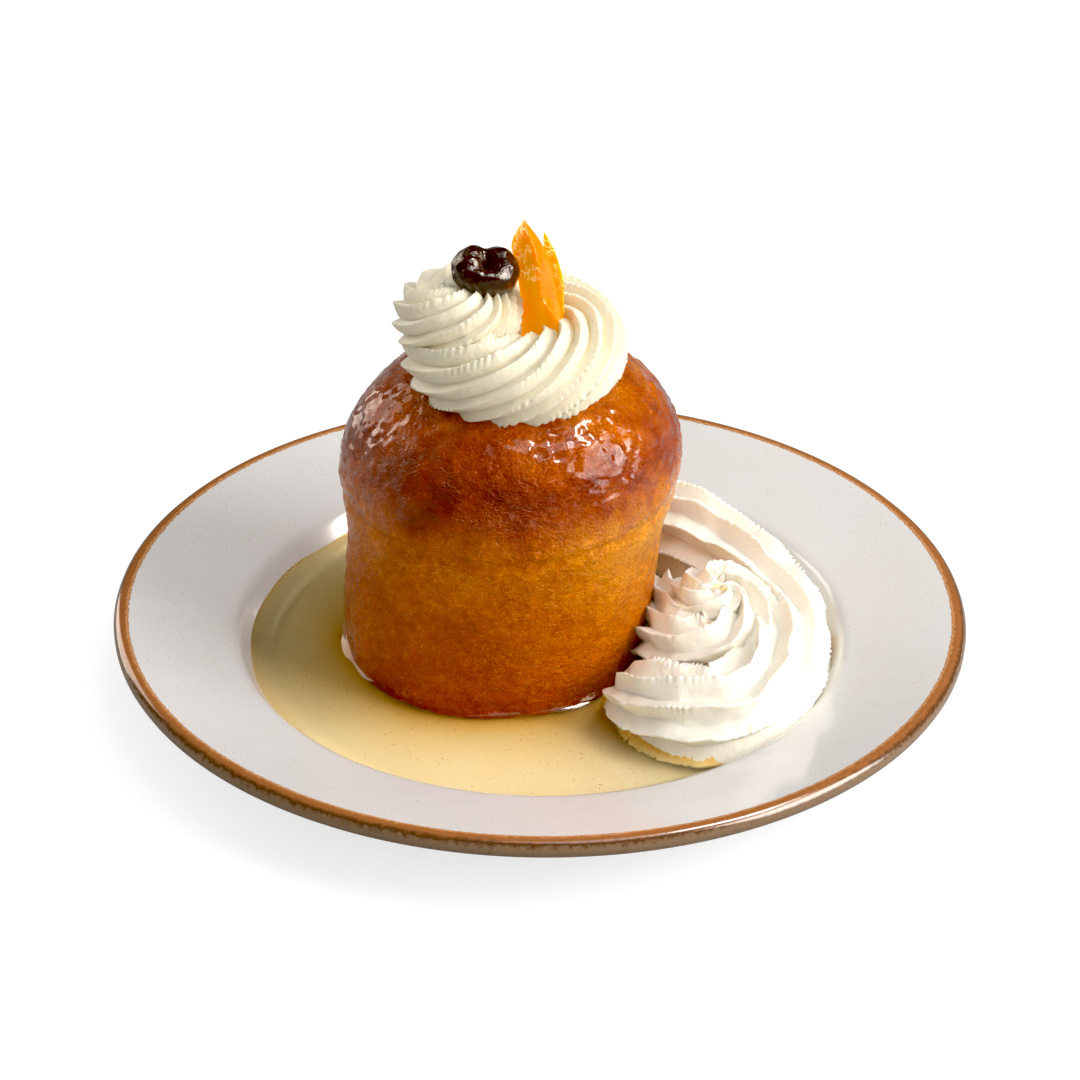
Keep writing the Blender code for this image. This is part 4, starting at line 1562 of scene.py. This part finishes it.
@dataclass
class TopCream:
    """The swirl on the cake: a full turn, then a smaller one that climbs to the left."""

    stations: tuple = (
        (160.0, 18.0, -7.5, 0.0, 102.5, 8.0, -100.0),
        (180.0, 19.0, -7.5, 0.0, 103.5, 11.6, -84.0),
        (205.0, 19.8, -7.5, -0.5, 103.8, 12.2, -60.0),
        (235.0, 19.8, -7.5, -1.0, 103.8, 12.4, -30.0),
        (270.0, 19.4, -7.5, -1.2, 103.8, 12.6, 23.0),
        (300.0, 18.8, -7.5, -0.8, 104.0, 12.6, 73.0),
        (336.0, 18.4, -7.5, 0.0, 104.3, 12.4, 121.0),
        (366.0, 18.2, -7.5, 0.0, 105.0, 12.2, 148.0),
        (440.0, 16.5, -8.5, 0.5, 107.0, 12.0, 222.0),
        (500.0, 12.5, -15.5, 0.0, 111.5, 11.6, 285.0),
        (560.0, 9.5, -21.0, -1.0, 113.5, 10.9, 330.0),
        (596.0, 9.2, -21.0, -1.0, 114.0, 10.9, 363.0),
        (636.0, 8.8, -21.0, -1.0, 114.6, 10.7, 398.0),
        (660.0, 8.6, -21.0, -1.0, 115.0, 9.9, 424.0),
        (696.0, 8.0, -21.2, -1.0, 115.5, 8.7, 485.0),
        (740.0, 7.3, -21.2, -0.5, 116.0, 8.2, 530.0),
        (810.0, 6.4, -20.6, 0.0, 117.0, 7.6, 600.0),
    )
    core: tuple = ((-7.5, -0.5, 98.0, 11.0), (-20.0, -1.0, 119.5, 5.5))
    piping: Piping = field(default_factory=lambda: Piping(ridges=12))
    step: float = 0.27 * MM
    # Round this place the painted groove shade is made stronger.
    yellower_place: Vector = place_field(4.0, -6.0, 112.0)
    yellower_reach: float = 15 * MM

    def curve(self, step: float) -> Array:
        """The rope's route.

        Args:
            step: About how far apart its rows are.

        Returns:
            Rows of x, y, z, radius and turn, in metres and radians.
        """
        bearing, spread, right, back, height, radius, turn = through(self.stations, ROUTE_ROWS).T
        bearing = np.radians(bearing)
        x = right + spread * np.cos(bearing)
        y = back + spread * np.sin(bearing)
        return evenly(np.column_stack([x * MM, y * MM, height * MM, radius * MM, np.radians(turn)]), step)

    def build(self, cake: Cake, dress: Material) -> Piece:
        """Pipes the swirl, which reaches just into the cake.

        Args:
            cake: The cake that it lies on.
            dress: Its material.

        Returns:
            The swirl.
        """
        curve = self.curve(self.step)
        ropes = self.piping.pieces("top_rope", curve, count=3, overlap=12, seed=31)
        piece = ropes[0]
        piece.name = "piped_cream_on_top"
        combine(piece, ropes[1:] + [cone("top_core", self.core)], Cut.JOIN)
        combine(piece, [cake.cutter(FOOTING)], Cut.TAKE_AWAY)
        keep_largest(piece)
        roughen_cream(piece.data, 32)
        # Painted shade: the grooves' depths, for the yellow painted shade, stronger round one place and a
        # little weaker elsewhere.
        away = np.linalg.norm(places(piece.data) - np.array(self.yellower_place), axis=1)
        yellower = 0.85 + 0.5 * np.exp(-((away / self.yellower_reach) ** 2))
        mark(piece.data, "groove", groove_depths(piece.data, [curve], self.piping.depth) * yellower)
        return finished(piece, "cream_top", dress)


@dataclass
class SideCream:
    """The swirl in the well: a rope round the right of the well, and a peak that rises on it."""

    ring: tuple = (
        (23.0, -31.0, 15.0, 7.0, -20.0),
        (27.0, -37.5, 16.0, 11.5, -14.0),
        (34.5, -44.5, 17.2, 13.8, -6.0),
        (47.0, -47.5, 17.5, 15.0, 4.0),
        (60.0, -38.0, 17.5, 15.0, 22.0),
        (66.8, -15.0, 17.5, 15.0, 50.0),
        (64.0, 6.0, 17.5, 15.0, 70.0),
        (54.0, 29.0, 18.5, 15.0, 92.0),
        (38.5, 47.0, 20.0, 14.5, 112.0),
        (20.0, 56.0, 20.0, 12.0, 132.0),
        (8.0, 59.0, 18.0, 8.0, 145.0),
    )
    peak: tuple = (
        (38.0, 24.0, 12.5, 6.0, 0.0),
        (36.5, 12.0, 15.5, 9.0, 20.0),
        (36.0, -4.0, 18.5, 11.0, 40.0),
        (38.0, -19.0, 20.5, 12.0, 70.0),
        (47.0, -25.0, 21.5, 12.4, 110.0),
        (55.0, -18.0, 22.8, 12.0, 150.0),
        (55.0, -6.5, 24.4, 11.4, 190.0),
        (50.0, -2.0, 26.0, 10.5, 230.0),
        (45.0, -5.0, 27.6, 9.6, 270.0),
        (45.0, -11.5, 28.4, 8.8, 310.0),
        (49.5, -13.0, 29.4, 7.8, 350.0),
        (51.0, -9.5, 30.4, 6.6, 390.0),
        (48.5, -8.5, 31.6, 5.2, 430.0),
    )
    core: tuple = ((47.0, -13.0, 7.0, 17.0), (47.5, -9.0, 31.5, 4.5))
    piping: Piping = field(
        default_factory=lambda: Piping(
            ridges=10,
            depth=0.33,
            fall=1.3,
            swell=1.25,
            lean=0.34,
            tooth_pitch=1.6 * MM,
            tooth_height=0.80 * MM,
        )
    )
    skirt: float = 1.22
    skirt_start: float = 6 * MM
    drag: Pair = (1.5 * MM, 0.5 * MM)
    drag_size: Pair = (11 * MM, 4.5 * MM)
    loose_height: Pair = (9 * MM, 18 * MM)
    # How strong the painted groove shade is on this swirl.
    groove_shade_share: float = 0.72
    step: float = 0.36 * MM

    @staticmethod
    def curve(stations: tuple, step: float) -> Array:
        """A route as rows of (x, y, z, radius, turn), in metres and radians."""
        rows = through(stations, ROUTE_ROWS)
        return evenly(np.column_stack([rows[:, :4] * MM, np.radians(rows[:, 4])]), step)

    def build(self, cake: Cake, plate: Plate, dress: Material) -> Piece:
        """Pipes the swirl, which reaches just into the cake and the plate.

        Args:
            cake: The cake beside it.
            plate: The plate that it lies on.
            dress: Its material.

        Returns:
            The swirl.
        """
        curves = [self.curve(self.ring, self.step), self.curve(self.peak, self.step)]
        ropes = self.piping.pieces("ring_rope", curves[0], count=2, overlap=11, seed=41)
        ropes += self.piping.pieces("peak_rope", curves[1], count=3, overlap=11, seed=42)
        piece = ropes[0]
        piece.name = "piped_cream_beside"
        combine(piece, ropes[1:] + [cone("peak_core", self.core)], Cut.JOIN)
        # Painted shade: the grooves' depths, for the yellow painted shade, kept weaker on this swirl.
        mark(piece.data, "groove", groove_depths(piece.data, curves, self.piping.depth) * self.groove_shade_share)
        self.spread(piece.data, curves[0])
        self.pull(piece.data, (44, 45, 46))
        roughen_cream(piece.data, 43)
        inside = np.array(plate.upper(-0.4 * MM) + [(70 * MM, -5 * MM), (1 * MM, -5 * MM)])
        combine(piece, [cake.cutter(FOOTING), turned("plate_inside", inside, 160)], Cut.TAKE_AWAY)
        keep_largest(piece)
        return finished(piece, "cream_side", dress)

    def spread(self, mesh: Mesh, curve: Array) -> None:
        """Lets the foot of the ring spread outward, as soft cream does on a plate.

        Args:
            mesh: The swirl's mesh.
            curve: The ring's route.
        """
        nearest, _ = nearest_rows(mesh, curve[::4])
        spots = places(mesh)
        off = spots - nearest[:, :3]
        low = np.clip(-off[:, 2] / nearest[:, 3], 0.0, 0.95)
        wider = np.minimum(1 / np.sqrt(1 - low**2), self.skirt) - 1
        outward = (off[:, :2] * nearest[:, :2]).sum(axis=1) / np.hypot(nearest[:, 0], nearest[:, 1])
        outer = smooth_step(0.0, self.skirt_start, outward)
        spots[:, :2] += off[:, :2] * (wider * outer)[:, None]
        move(mesh, spots)

    def pull(self, mesh: Mesh, seeds: tuple[int, int, int]) -> None:
        """Drags the softer cream of this swirl about, least where it lies on the plate.

        Args:
            mesh: The swirl's mesh.
            seeds: Which random drags there are along x, y and z.
        """
        spots = places(mesh)
        drags = []
        for seed in seeds:
            wide = Relief(seed).at(spots, self.drag_size[0]) * self.drag[0]
            fine = Relief(seed + len(seeds)).at(spots, self.drag_size[1]) * self.drag[1]
            drags.append(wide + fine)
        loose = smooth_step(*self.loose_height, spots[:, 2])
        move(mesh, spots + np.column_stack(drags) * loose[:, None])

    def tubes(self, grow: float) -> list[Piece]:
        """Smooth tubes round the ropes and the core, to cut what the swirl stands in.

        Args:
            grow: How far they are moved out.

        Returns:
            The tubes.
        """
        curves = [self.curve(stations, 3 * MM) for stations in (self.ring, self.peak)]
        tubes = self.piping.pieces("ring_tube", curves[0], count=2, overlap=2, seed=1, grow=grow)
        tubes += self.piping.pieces("peak_tube", curves[1], count=3, overlap=2, seed=1, grow=grow)
        return tubes + [cone("core_tube", self.core, grow=grow)]


@dataclass
class Cherry:
    """The dark cherry, sunk in at the top where its stone was."""

    centre: Vector = place_field(-15.6, -3.0, 127.8)
    half: Vector = place_field(9.1, 7.6, 7.5)
    dent_way: Vector = field(default_factory=lambda: Vector((0.16, -0.55, 0.82)))
    dent_spread: Vector = field(default_factory=lambda: Vector((0.52, 0.58, 0.54)))
    dent_depth: float = 0.66
    cleft_depth: float = 0.20
    cleft_width: float = 0.28
    cleft_start: float = 0.3
    cleft_end: float = 0.8
    wrinkle: float = 0.06
    crease_size: float = 0.42
    crease_depth: float = 0.030
    rings: int = 130
    segments: int = 200

    def build(self, dress: Material) -> Piece:
        """Makes the cherry, wrinkled by the sugar.

        Args:
            dress: Its material.

        Returns:
            The cherry.
        """
        fall = np.linspace(math.radians(1), math.radians(179), self.rings)[:, None]
        turn = np.linspace(0, TURN, self.segments, endpoint=False)[None, :]
        way = ring_points(np.zeros(2), np.sin(fall), turn, -np.cos(fall))
        off = (way - np.array(self.dent_way)) / np.array(self.dent_spread)
        size = 1 - self.dent_depth * np.exp(-(off**2).sum(axis=-1))
        risen = smooth_step(self.cleft_start, self.cleft_end, way[..., 2])
        size = size - self.cleft_depth * risen * np.exp(-((way[..., 0] / self.cleft_width) ** 2))
        flat = way.reshape(-1, 3)
        folds = np.array([noise.noise(Vector(spot) * 3) for spot in flat]).reshape(size.shape)
        creases = (1 - np.abs(Relief(51).at(flat + 2.0, self.crease_size))).reshape(size.shape)
        size = size + self.wrinkle * folds + self.crease_depth * (creases - 0.5)
        piece = loft("dark_cherry", np.array(self.centre) + way * np.array(self.half) * size[:, :, None])
        return finished(piece, "cherry", dress)


@dataclass
class Wedge:
    """A wedge of candied fruit, given by stations up its three edges in millimetres."""

    name: str
    node: str
    left: tuple
    crest: tuple
    right: tuple
    seed: int
    sugar_start: float
    sugar_end: float
    rings: int = 210
    points_a_face: int = 44
    bulge: float = 0.05
    easing: int = 4
    thread_width: float = 0.10
    skin: tuple = ((0.10 * MM, (2.6 * MM, 2.6 * MM, 5.5 * MM), 0.0), (0.05 * MM, 1.2 * MM, 0.5))
    sugar_height: float = 0.14 * MM

    def build(self, dress: Material) -> Piece:
        """Cuts the wedge, with eased edges, a wrinkled skin, threads of sugar and pale grains along the
        crest that are painted glints.

        Args:
            dress: Its material.

        Returns:
            The wedge.
        """
        edges = (self.left, self.crest, self.right)
        curves = np.array([through(edge, self.rings) * MM for edge in edges])
        rings = []
        shares = np.linspace(0, 1, self.points_a_face, endpoint=False)[:, None]
        for corners in curves.transpose(1, 0, 2):
            middle = corners.mean(axis=0)
            ring = []
            for corner, following in zip(corners, np.roll(corners, -1, axis=0)):
                face = corner + (following - corner) * shares
                ring.append(face + (face - middle) * 4 * shares * (1 - shares) * self.bulge)
            ring = np.vstack(ring)
            for _ in range(self.easing):
                ring = (np.roll(ring, 1, axis=0) + ring + np.roll(ring, -1, axis=0)) / 3
            rings.append(ring)
        piece = loft(self.name, np.array(rings))
        spots = places(piece.data)
        relief = Relief(self.seed)
        # The mask holds the sugar threads and the painted glints along the crest.
        sugar_and_glints = self.sugar_and_glints(spots, relief)
        push(piece.data, bumpy(relief, spots, self.skin) + self.sugar_height * sugar_and_glints)
        mark(piece.data, "sugar_and_glints", sugar_and_glints)
        return finished(piece, self.node, dress)

    def sugar_and_glints(self, spots: Array, relief: Relief) -> Array:
        """Where sugar shows as threads high on the first face, and where pale grains along the crest are
        painted as glints.

        Args:
            spots: The wedge's points.
            relief: Its random values.

        Returns:
            How much of the sugar's pale colour each point has, threads and painted glints, from 0 to 1.
        """
        column = np.arange(len(spots)) % (3 * self.points_a_face)
        column[self.rings * 3 * self.points_a_face :] = 2 * self.points_a_face
        first = column < self.points_a_face
        wander = 3 * MM * relief.at(spots + 0.9, 4 * MM)
        high = smooth_step(self.sugar_start, self.sugar_end, spots[:, 2] + wander)
        drift = spots + 0.35 * MM * relief.at(spots + 0.1, 1.1 * MM)[:, None]
        level = np.abs(relief.at(drift, 0.95 * MM))
        steep = np.abs(relief.at(drift + 0.2, (1.2 * MM, 1.2 * MM, 0.7 * MM)))
        threads = smooth_step(self.thread_width * 1.7, self.thread_width * 0.5, np.minimum(level, steep))
        # Painted highlight: pale grains along the crest stand for the glints on it.
        crest = np.exp(-(((column - self.points_a_face) / 1.2) ** 2))
        glint_grains = smooth_step(0.25, 0.5, relief.at(spots + 0.6, 1.1 * MM))
        broken = smooth_step(-0.35, 0.1, relief.at(spots + 0.4, 1.7 * MM))
        return np.maximum(0.85 * threads * broken * high * first, 0.8 * crest * glint_grains)


@dataclass
class Syrup:
    """The pool of syrup, which climbs a little up whatever it touches."""

    level: float = 9.3 * MM
    climb: float = 3.2 * MM
    reach: float = 2.5 * MM
    # How far the painted shade near the cake reaches.
    cake_shade_reach: float = 13.0 * MM
    plate_reach: float = 1.25 * MM
    plate_share: float = 0.5
    cream_reach: float = 1.75 * MM
    cream_share: float = 0.8
    inner_edge: float = 3.5 * MM
    columns: int = 420
    rows: int = 70

    @staticmethod
    def nearness(gap: Array, reach: float) -> Array:
        """1 at no gap or less, and near 0 at a few reaches."""
        return np.exp(-np.maximum(gap, 0.0) / reach)

    def cake_gap(self, spots: Array, cake: Cake, radius: float | Array) -> Array:
        """How far each point lies from the cake's axis at the level, less a radius."""
        middle = cake.axis(np.array([self.level]))[0]
        return np.hypot(spots[:, 0] - middle[0], spots[:, 1] - middle[1]) - radius

    def shore_share(self, spots: Array, cake: Cake, wall: float, curves: list[Array]) -> Array:
        """How close each point of the surface is to what stands in it.

        Args:
            spots: The points.
            cake: The cake.
            wall: The plate's radius at the shore.
            curves: The routes of the second swirl's ropes.

        Returns:
            For each point a value from 0 to 1 at the shore.
        """
        bearing = np.arctan2(spots[:, 1] - cake.foot.y, spots[:, 0] - cake.foot.x)
        levels = np.full(len(spots), self.level)
        skin = cake.radius(levels, bearing) + 0.9 * cake.swell(levels, bearing)
        near = self.nearness(self.cake_gap(spots, cake, skin), self.reach)
        out = np.hypot(spots[:, 0], spots[:, 1])
        near = np.maximum(near, self.nearness(wall - out, self.plate_reach) * self.plate_share)
        for curve in curves:
            half = np.sqrt(np.maximum(curve[:, 3] ** 2 - (curve[:, 2] - self.level) ** 2, 0.0))
            apart = np.hypot(spots[:, :1] - curve[:, 0], spots[:, 1:2] - curve[:, 1]) - half
            beside = self.nearness(apart.min(axis=1), self.cream_reach)
            near = np.maximum(near, beside * self.cream_share)
        return near

    def build(self, cake: Cake, plate: Plate, cream: SideCream, dress: Material) -> Piece:
        """Pours the pool, cut round the cake and the cream but reaching just into them.

        Args:
            cake: The cake that stands in it.
            plate: The plate that holds it.
            cream: The swirl that lies in it.
            dress: Its material.

        Returns:
            The pool.
        """
        wall = [point for point in plate.upper(-0.35 * MM) if point[0] < plate.wall_foot + 8 * MM]
        radii, heights = np.array(wall).T
        shore = np.interp(self.level + 0.6 * MM, heights[1:], radii[1:])
        turns = np.linspace(0, TURN, self.columns, endpoint=False)
        ways = np.column_stack([np.cos(turns), np.sin(turns)])
        middle = cake.axis(np.array([self.level]))[0]
        inner = middle + ways * (cake.mould_radius - self.inner_edge)
        shares = (1 - np.cos(np.linspace(0, math.pi, self.rows))) / 2
        top = np.full((self.rows, self.columns, 3), self.level)
        top[:, :, :2] = inner + (ways * shore - inner) * shares[:, None, None]
        curves = [cream.curve(stations, 2 * MM) for stations in (cream.ring, cream.peak)]
        spots = top.reshape(-1, 3)
        near = self.shore_share(spots, cake, shore, curves)
        pulled = 0.80 + 0.45 * Relief(71).at(spots, 17 * MM)
        top[:, :, 2] = self.level + (self.climb * pulled * near**1.2).reshape(self.rows, self.columns)
        below = []
        for radius in np.linspace(shore, radii[1], 12)[1:]:
            level = np.interp(radius, radii, heights)
            below.append(np.column_stack([ways * radius, np.full(self.columns, level)]))
        below.append(np.column_stack([inner, np.full(self.columns, heights[0])]))
        grid = np.concatenate([top, below])
        faces = band_faces(len(grid), self.columns, closed=True)
        piece = shaded("clear_syrup_pool", grid.reshape(-1, 3), faces)
        combine(piece, [cake.cutter(0.9 * MM, 160)] + cream.tubes(-3.9 * MM), Cut.TAKE_AWAY)
        keep_largest(piece)
        spots = places(piece.data)
        # Painted shade: how near each point lies to the cake, for the deeper tint there.
        cake_shade_nearness = self.nearness(self.cake_gap(spots, cake, cake.mould_radius), self.cake_shade_reach)
        mark(piece.data, "shore", self.shore_share(spots, cake, shore, curves))
        mark(piece.data, "cake_shade_nearness", cake_shade_nearness)
        return finished(piece, "syrup", dress)


@dataclass
class Viewpoint:
    """The camera, fitted to the plate's outline in the photograph."""

    focal_pixels: float = 3579.87
    distance: float = 1.0
    elevation: float = math.radians(30.428)
    roll: float = math.radians(0.658)
    target: Vector = place_field(-0.27, 0.0, 42.91)
    sensor: float = 36.0

    def build(self) -> None:
        """Sets up the scene's camera."""
        data = bpy.data.cameras.new("camera")
        data.sensor_width = self.sensor
        data.lens = self.focal_pixels / PHOTO_SIDE * self.sensor
        data.clip_start = 0.05
        camera = bpy.data.objects.new("camera", data)
        back = Vector((0.0, -math.cos(self.elevation), math.sin(self.elevation)))
        right = Vector((1.0, 0.0, 0.0))
        up = back.cross(right)
        across = right * math.cos(self.roll) + up * math.sin(self.roll)
        upward = up * math.cos(self.roll) - right * math.sin(self.roll)
        turned_to = Matrix((across, upward, back)).transposed().to_4x4()
        camera.matrix_world = Matrix.Translation(self.target + back * self.distance) @ turned_to
        bpy.context.scene.collection.objects.link(camera)
        bpy.context.scene.camera = camera


@dataclass(frozen=True)
class Softbox:
    """One flat studio light."""

    name: str
    place: Triple
    size: Pair
    power: float
    colour: Colour = WHITE
    lights: bool = True
    mirrored: bool = True
    aim: Triple = (0.0, 0.0, 0.05)

    def build(self) -> None:
        """Hangs the light, turned to its aim."""
        data = bpy.data.lights.new(self.name, "AREA")
        data.shape = "RECTANGLE"
        data.size, data.size_y = self.size
        data.energy = self.power
        data.color = self.colour
        light = bpy.data.objects.new(self.name, data)
        light.location = self.place
        way = Vector(self.aim) - Vector(self.place)
        light.rotation_euler = way.to_track_quat("-Z", "Y").to_euler()
        light.visible_diffuse = self.lights
        light.visible_glossy = self.mirrored
        bpy.context.scene.collection.objects.link(light)


@dataclass
class Studio:
    """The pale floor that glows a little, the room that is brightest overhead, and its lights."""

    floor_side: float = 6.0
    floor_colour: Colour = (0.45, 0.45, 0.45)
    floor_glow: float = 0.70
    floor_bounce: Colour = (0.40, 0.40, 0.40)
    floor_drop: float = 0.05 * MM
    room_low: float = 0.16
    room_high: float = 0.56
    room_mirrored: float = 0.07
    room_seen: float = 0.95
    boxes: tuple[Softbox, ...] = (
        Softbox("key", (1.0, -0.30, 0.57), (0.80, 0.70), 13.6, (1.0, 0.985, 0.96)),
        Softbox("gleam", (0.90, -0.27, 0.76), (0.72, 0.66), 15.0, (1.0, 0.80, 0.66), lights=False),
        Softbox("glint", (0.50, 0.05, 1.1), (0.34, 0.34), 11.0, (1.0, 0.95, 0.92), lights=False),
        Softbox("fill", (-0.05, -0.98, 0.50), (0.7, 0.7), 1.9, mirrored=False),
        Softbox("strip", (-0.80, 0.72, 0.33), (0.44, 0.75), 4.8, (1.0, 0.82, 0.70), lights=False),
        Softbox("back", (-0.80, 0.72, 0.33), (0.44, 0.75), 4.6, (1.0, 0.96, 0.92), mirrored=False),
        Softbox("rear", (0.62, 0.78, 0.62), (0.6, 0.6), 2.2, (0.96, 0.98, 1.0), mirrored=False),
        Softbox("top", (0.16, -0.15, 1.2), (0.5, 0.5), 2.4),
    )

    def build(self) -> None:
        """Lays the floor, lights the room and hangs the lights."""
        self.lay_floor()
        self.light_room()
        for box in self.boxes:
            box.build()

    def lay_floor(self) -> None:
        """The floor, which the camera sees glowing and which gives the plate a duller light."""
        half = self.floor_side / 2
        mesh = bpy.data.meshes.new("floor")
        corners = [(-half, -half, 0), (half, -half, 0), (half, half, 0), (-half, half, 0)]
        mesh.from_pydata(corners, [], [(0, 1, 2, 3)])
        floor = bpy.data.objects.new("floor", mesh)
        floor.location.z = -self.floor_drop
        bpy.context.scene.collection.objects.link(floor)
        paint = bpy.data.materials.new("floor_paint")
        paint.use_nodes = True
        shader = paint.node_tree.nodes["Principled BSDF"]
        shader.inputs["Base Color"].default_value = (*self.floor_colour, 1)
        shader.inputs["Roughness"].default_value = 0.9
        shader.inputs["Specular IOR Level"].default_value = 0.1
        shader.inputs["Emission Color"].default_value = (*WHITE, 1)
        shader.inputs["Emission Strength"].default_value = self.floor_glow
        board = Board(paint.node_tree)
        seen = board.node("ShaderNodeLightPath").outputs["Is Camera Ray"]
        bounce = board.node("ShaderNodeBsdfDiffuse", {"Color": (*self.floor_bounce, 1)}).outputs[0]
        either = board.node("ShaderNodeMixShader", {0: seen, 1: bounce, 2: shader.outputs[0]})
        out = board.tree.nodes["Material Output"]
        board.tree.links.new(either.outputs[0], out.inputs["Surface"])
        mesh.materials.append(paint)

    def light_room(self) -> None:
        """The room's own light: brighter overhead, dim in mirrors and white behind the object."""
        world = bpy.data.worlds.new("room")
        world.use_nodes = True
        light = world.node_tree.nodes["Background"]
        light.inputs["Color"].default_value = (*WHITE, 1)
        board = Board(world.node_tree)
        way = board.node("ShaderNodeTexCoord").outputs["Generated"]
        rise = board.node("ShaderNodeSeparateXYZ", {0: way}).outputs[2]
        strength = board.span(rise, 0.0, 0.8, self.room_low, self.room_high)
        rays = board.node("ShaderNodeLightPath").outputs
        for kind, value in (("Is Glossy Ray", self.room_mirrored), ("Is Camera Ray", self.room_seen)):
            inputs = {0: rays[kind], 2: strength, 3: value}
            strength = board.node("ShaderNodeMix", inputs, data_type="FLOAT").outputs[0]
        board.tree.links.new(strength, light.inputs["Strength"])
        bpy.context.scene.world = world


FRONT_WEDGE = Wedge(
    "fruit_wedge_in_front",
    "fruit_wedge_front",
    left=(
        (-6.4, -4.4, 105.0), (-6.2, -3.6, 112.5), (-6.6, -0.6, 120.0),
        (-8.2, 1.8, 128.5), (-8.9, 1.2, 134.3), (-5.75, -4.0, 143.2),
    ),
    crest=(
        (6.0, -10.0, 105.0), (4.8, -9.5, 114.0), (-0.1, -9.0, 122.5),
        (-1.3, -8.6, 131.0), (-3.0, -7.0, 137.0), (-5.55, -4.5, 143.6),
    ),
    right=(
        (6.2, -3.2, 105.0), (5.2, -3.3, 113.5), (3.5, -3.4, 121.5),
        (1.8, -3.3, 129.5), (-0.7, -3.2, 136.3), (-5.2, -4.0, 143.3),
    ),
    seed=61,
    sugar_start=124.0 * MM,
    sugar_end=128.0 * MM,
)
BACK_WEDGE = Wedge(
    "fruit_wedge_behind",
    "fruit_wedge_back",
    left=(
        (1.5, -0.8, 105.0), (0.8, -0.6, 115.0), (0.3, -0.4, 124.0),
        (-0.3, -0.2, 132.5), (-0.2, -0.8, 138.3),
    ),
    crest=(
        (5.6, -1.8, 105.0), (5.5, -1.8, 116.0), (5.2, -1.8, 125.0),
        (2.8, -1.8, 133.2), (0.1, -1.3, 138.5),
    ),
    right=(
        (3.5, 4.0, 105.0), (2.8, 4.0, 115.0), (2.2, 4.0, 124.0),
        (0.9, 3.0, 131.5), (-0.1, -0.6, 138.2),
    ),
    seed=62,
    sugar_start=110.0 * MM,
    sugar_end=140.0 * MM,
)


def grade_picture(black: Colour = (0.008, 0.013, 0.025)) -> None:
    """Shows plain colours, with the deep warm shadows of the photograph.

    Args:
        black: The red, green and blue light that is shown as none.
    """
    view = bpy.context.scene.view_settings
    view.view_transform = "Standard"
    view.use_curve_mapping = True
    view.curve_mapping.black_level = black


def main() -> None:
    """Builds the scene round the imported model."""
    logging.basicConfig(level=logging.INFO, format="%(name)s: %(message)s")
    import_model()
    grade_picture()
    Viewpoint().build()
    Studio().build()
    groups = Groups()
    cream = WhippedCream(groups).build()
    # Painted shade: the swirl on top gets a darker, yellower copy of the cream, for the shade that it lies
    # in, with some of the syrup's yellow.
    shaded_top_cream = WhippedCream(groups, "whipped_cream_on_top_shaded", (0.84, 0.775, 0.61)).build()
    fruit = CandiedFruit(groups).build()
    yellow = {"amber": (0.98, 0.56, 0.012), "deep": (0.95, 0.42, 0.008)}
    yellow_fruit = CandiedFruit(groups, "candied_yellow_fruit", **yellow).build()
    plate, cake, side = Plate(), Cake(), SideCream()
    pieces = [
        plate.build(Stoneware(groups).build()),
        cake.build(SoakedCrust(groups).build()),
        TopCream().build(cake, shaded_top_cream),
        side.build(cake, plate, cream),
        Syrup().build(cake, plate, side, ClearSyrup(groups).build()),
        Cherry().build(CherryFlesh(groups).build()),
        FRONT_WEDGE.build(fruit),
        BACK_WEDGE.build(yellow_fruit),
    ]
    for piece in pieces:
        piece.data.calc_loop_triangles()
        log.info("%s: %d triangles", piece.name, len(piece.data.loop_triangles))


if __name__ == "__main__":
    main()
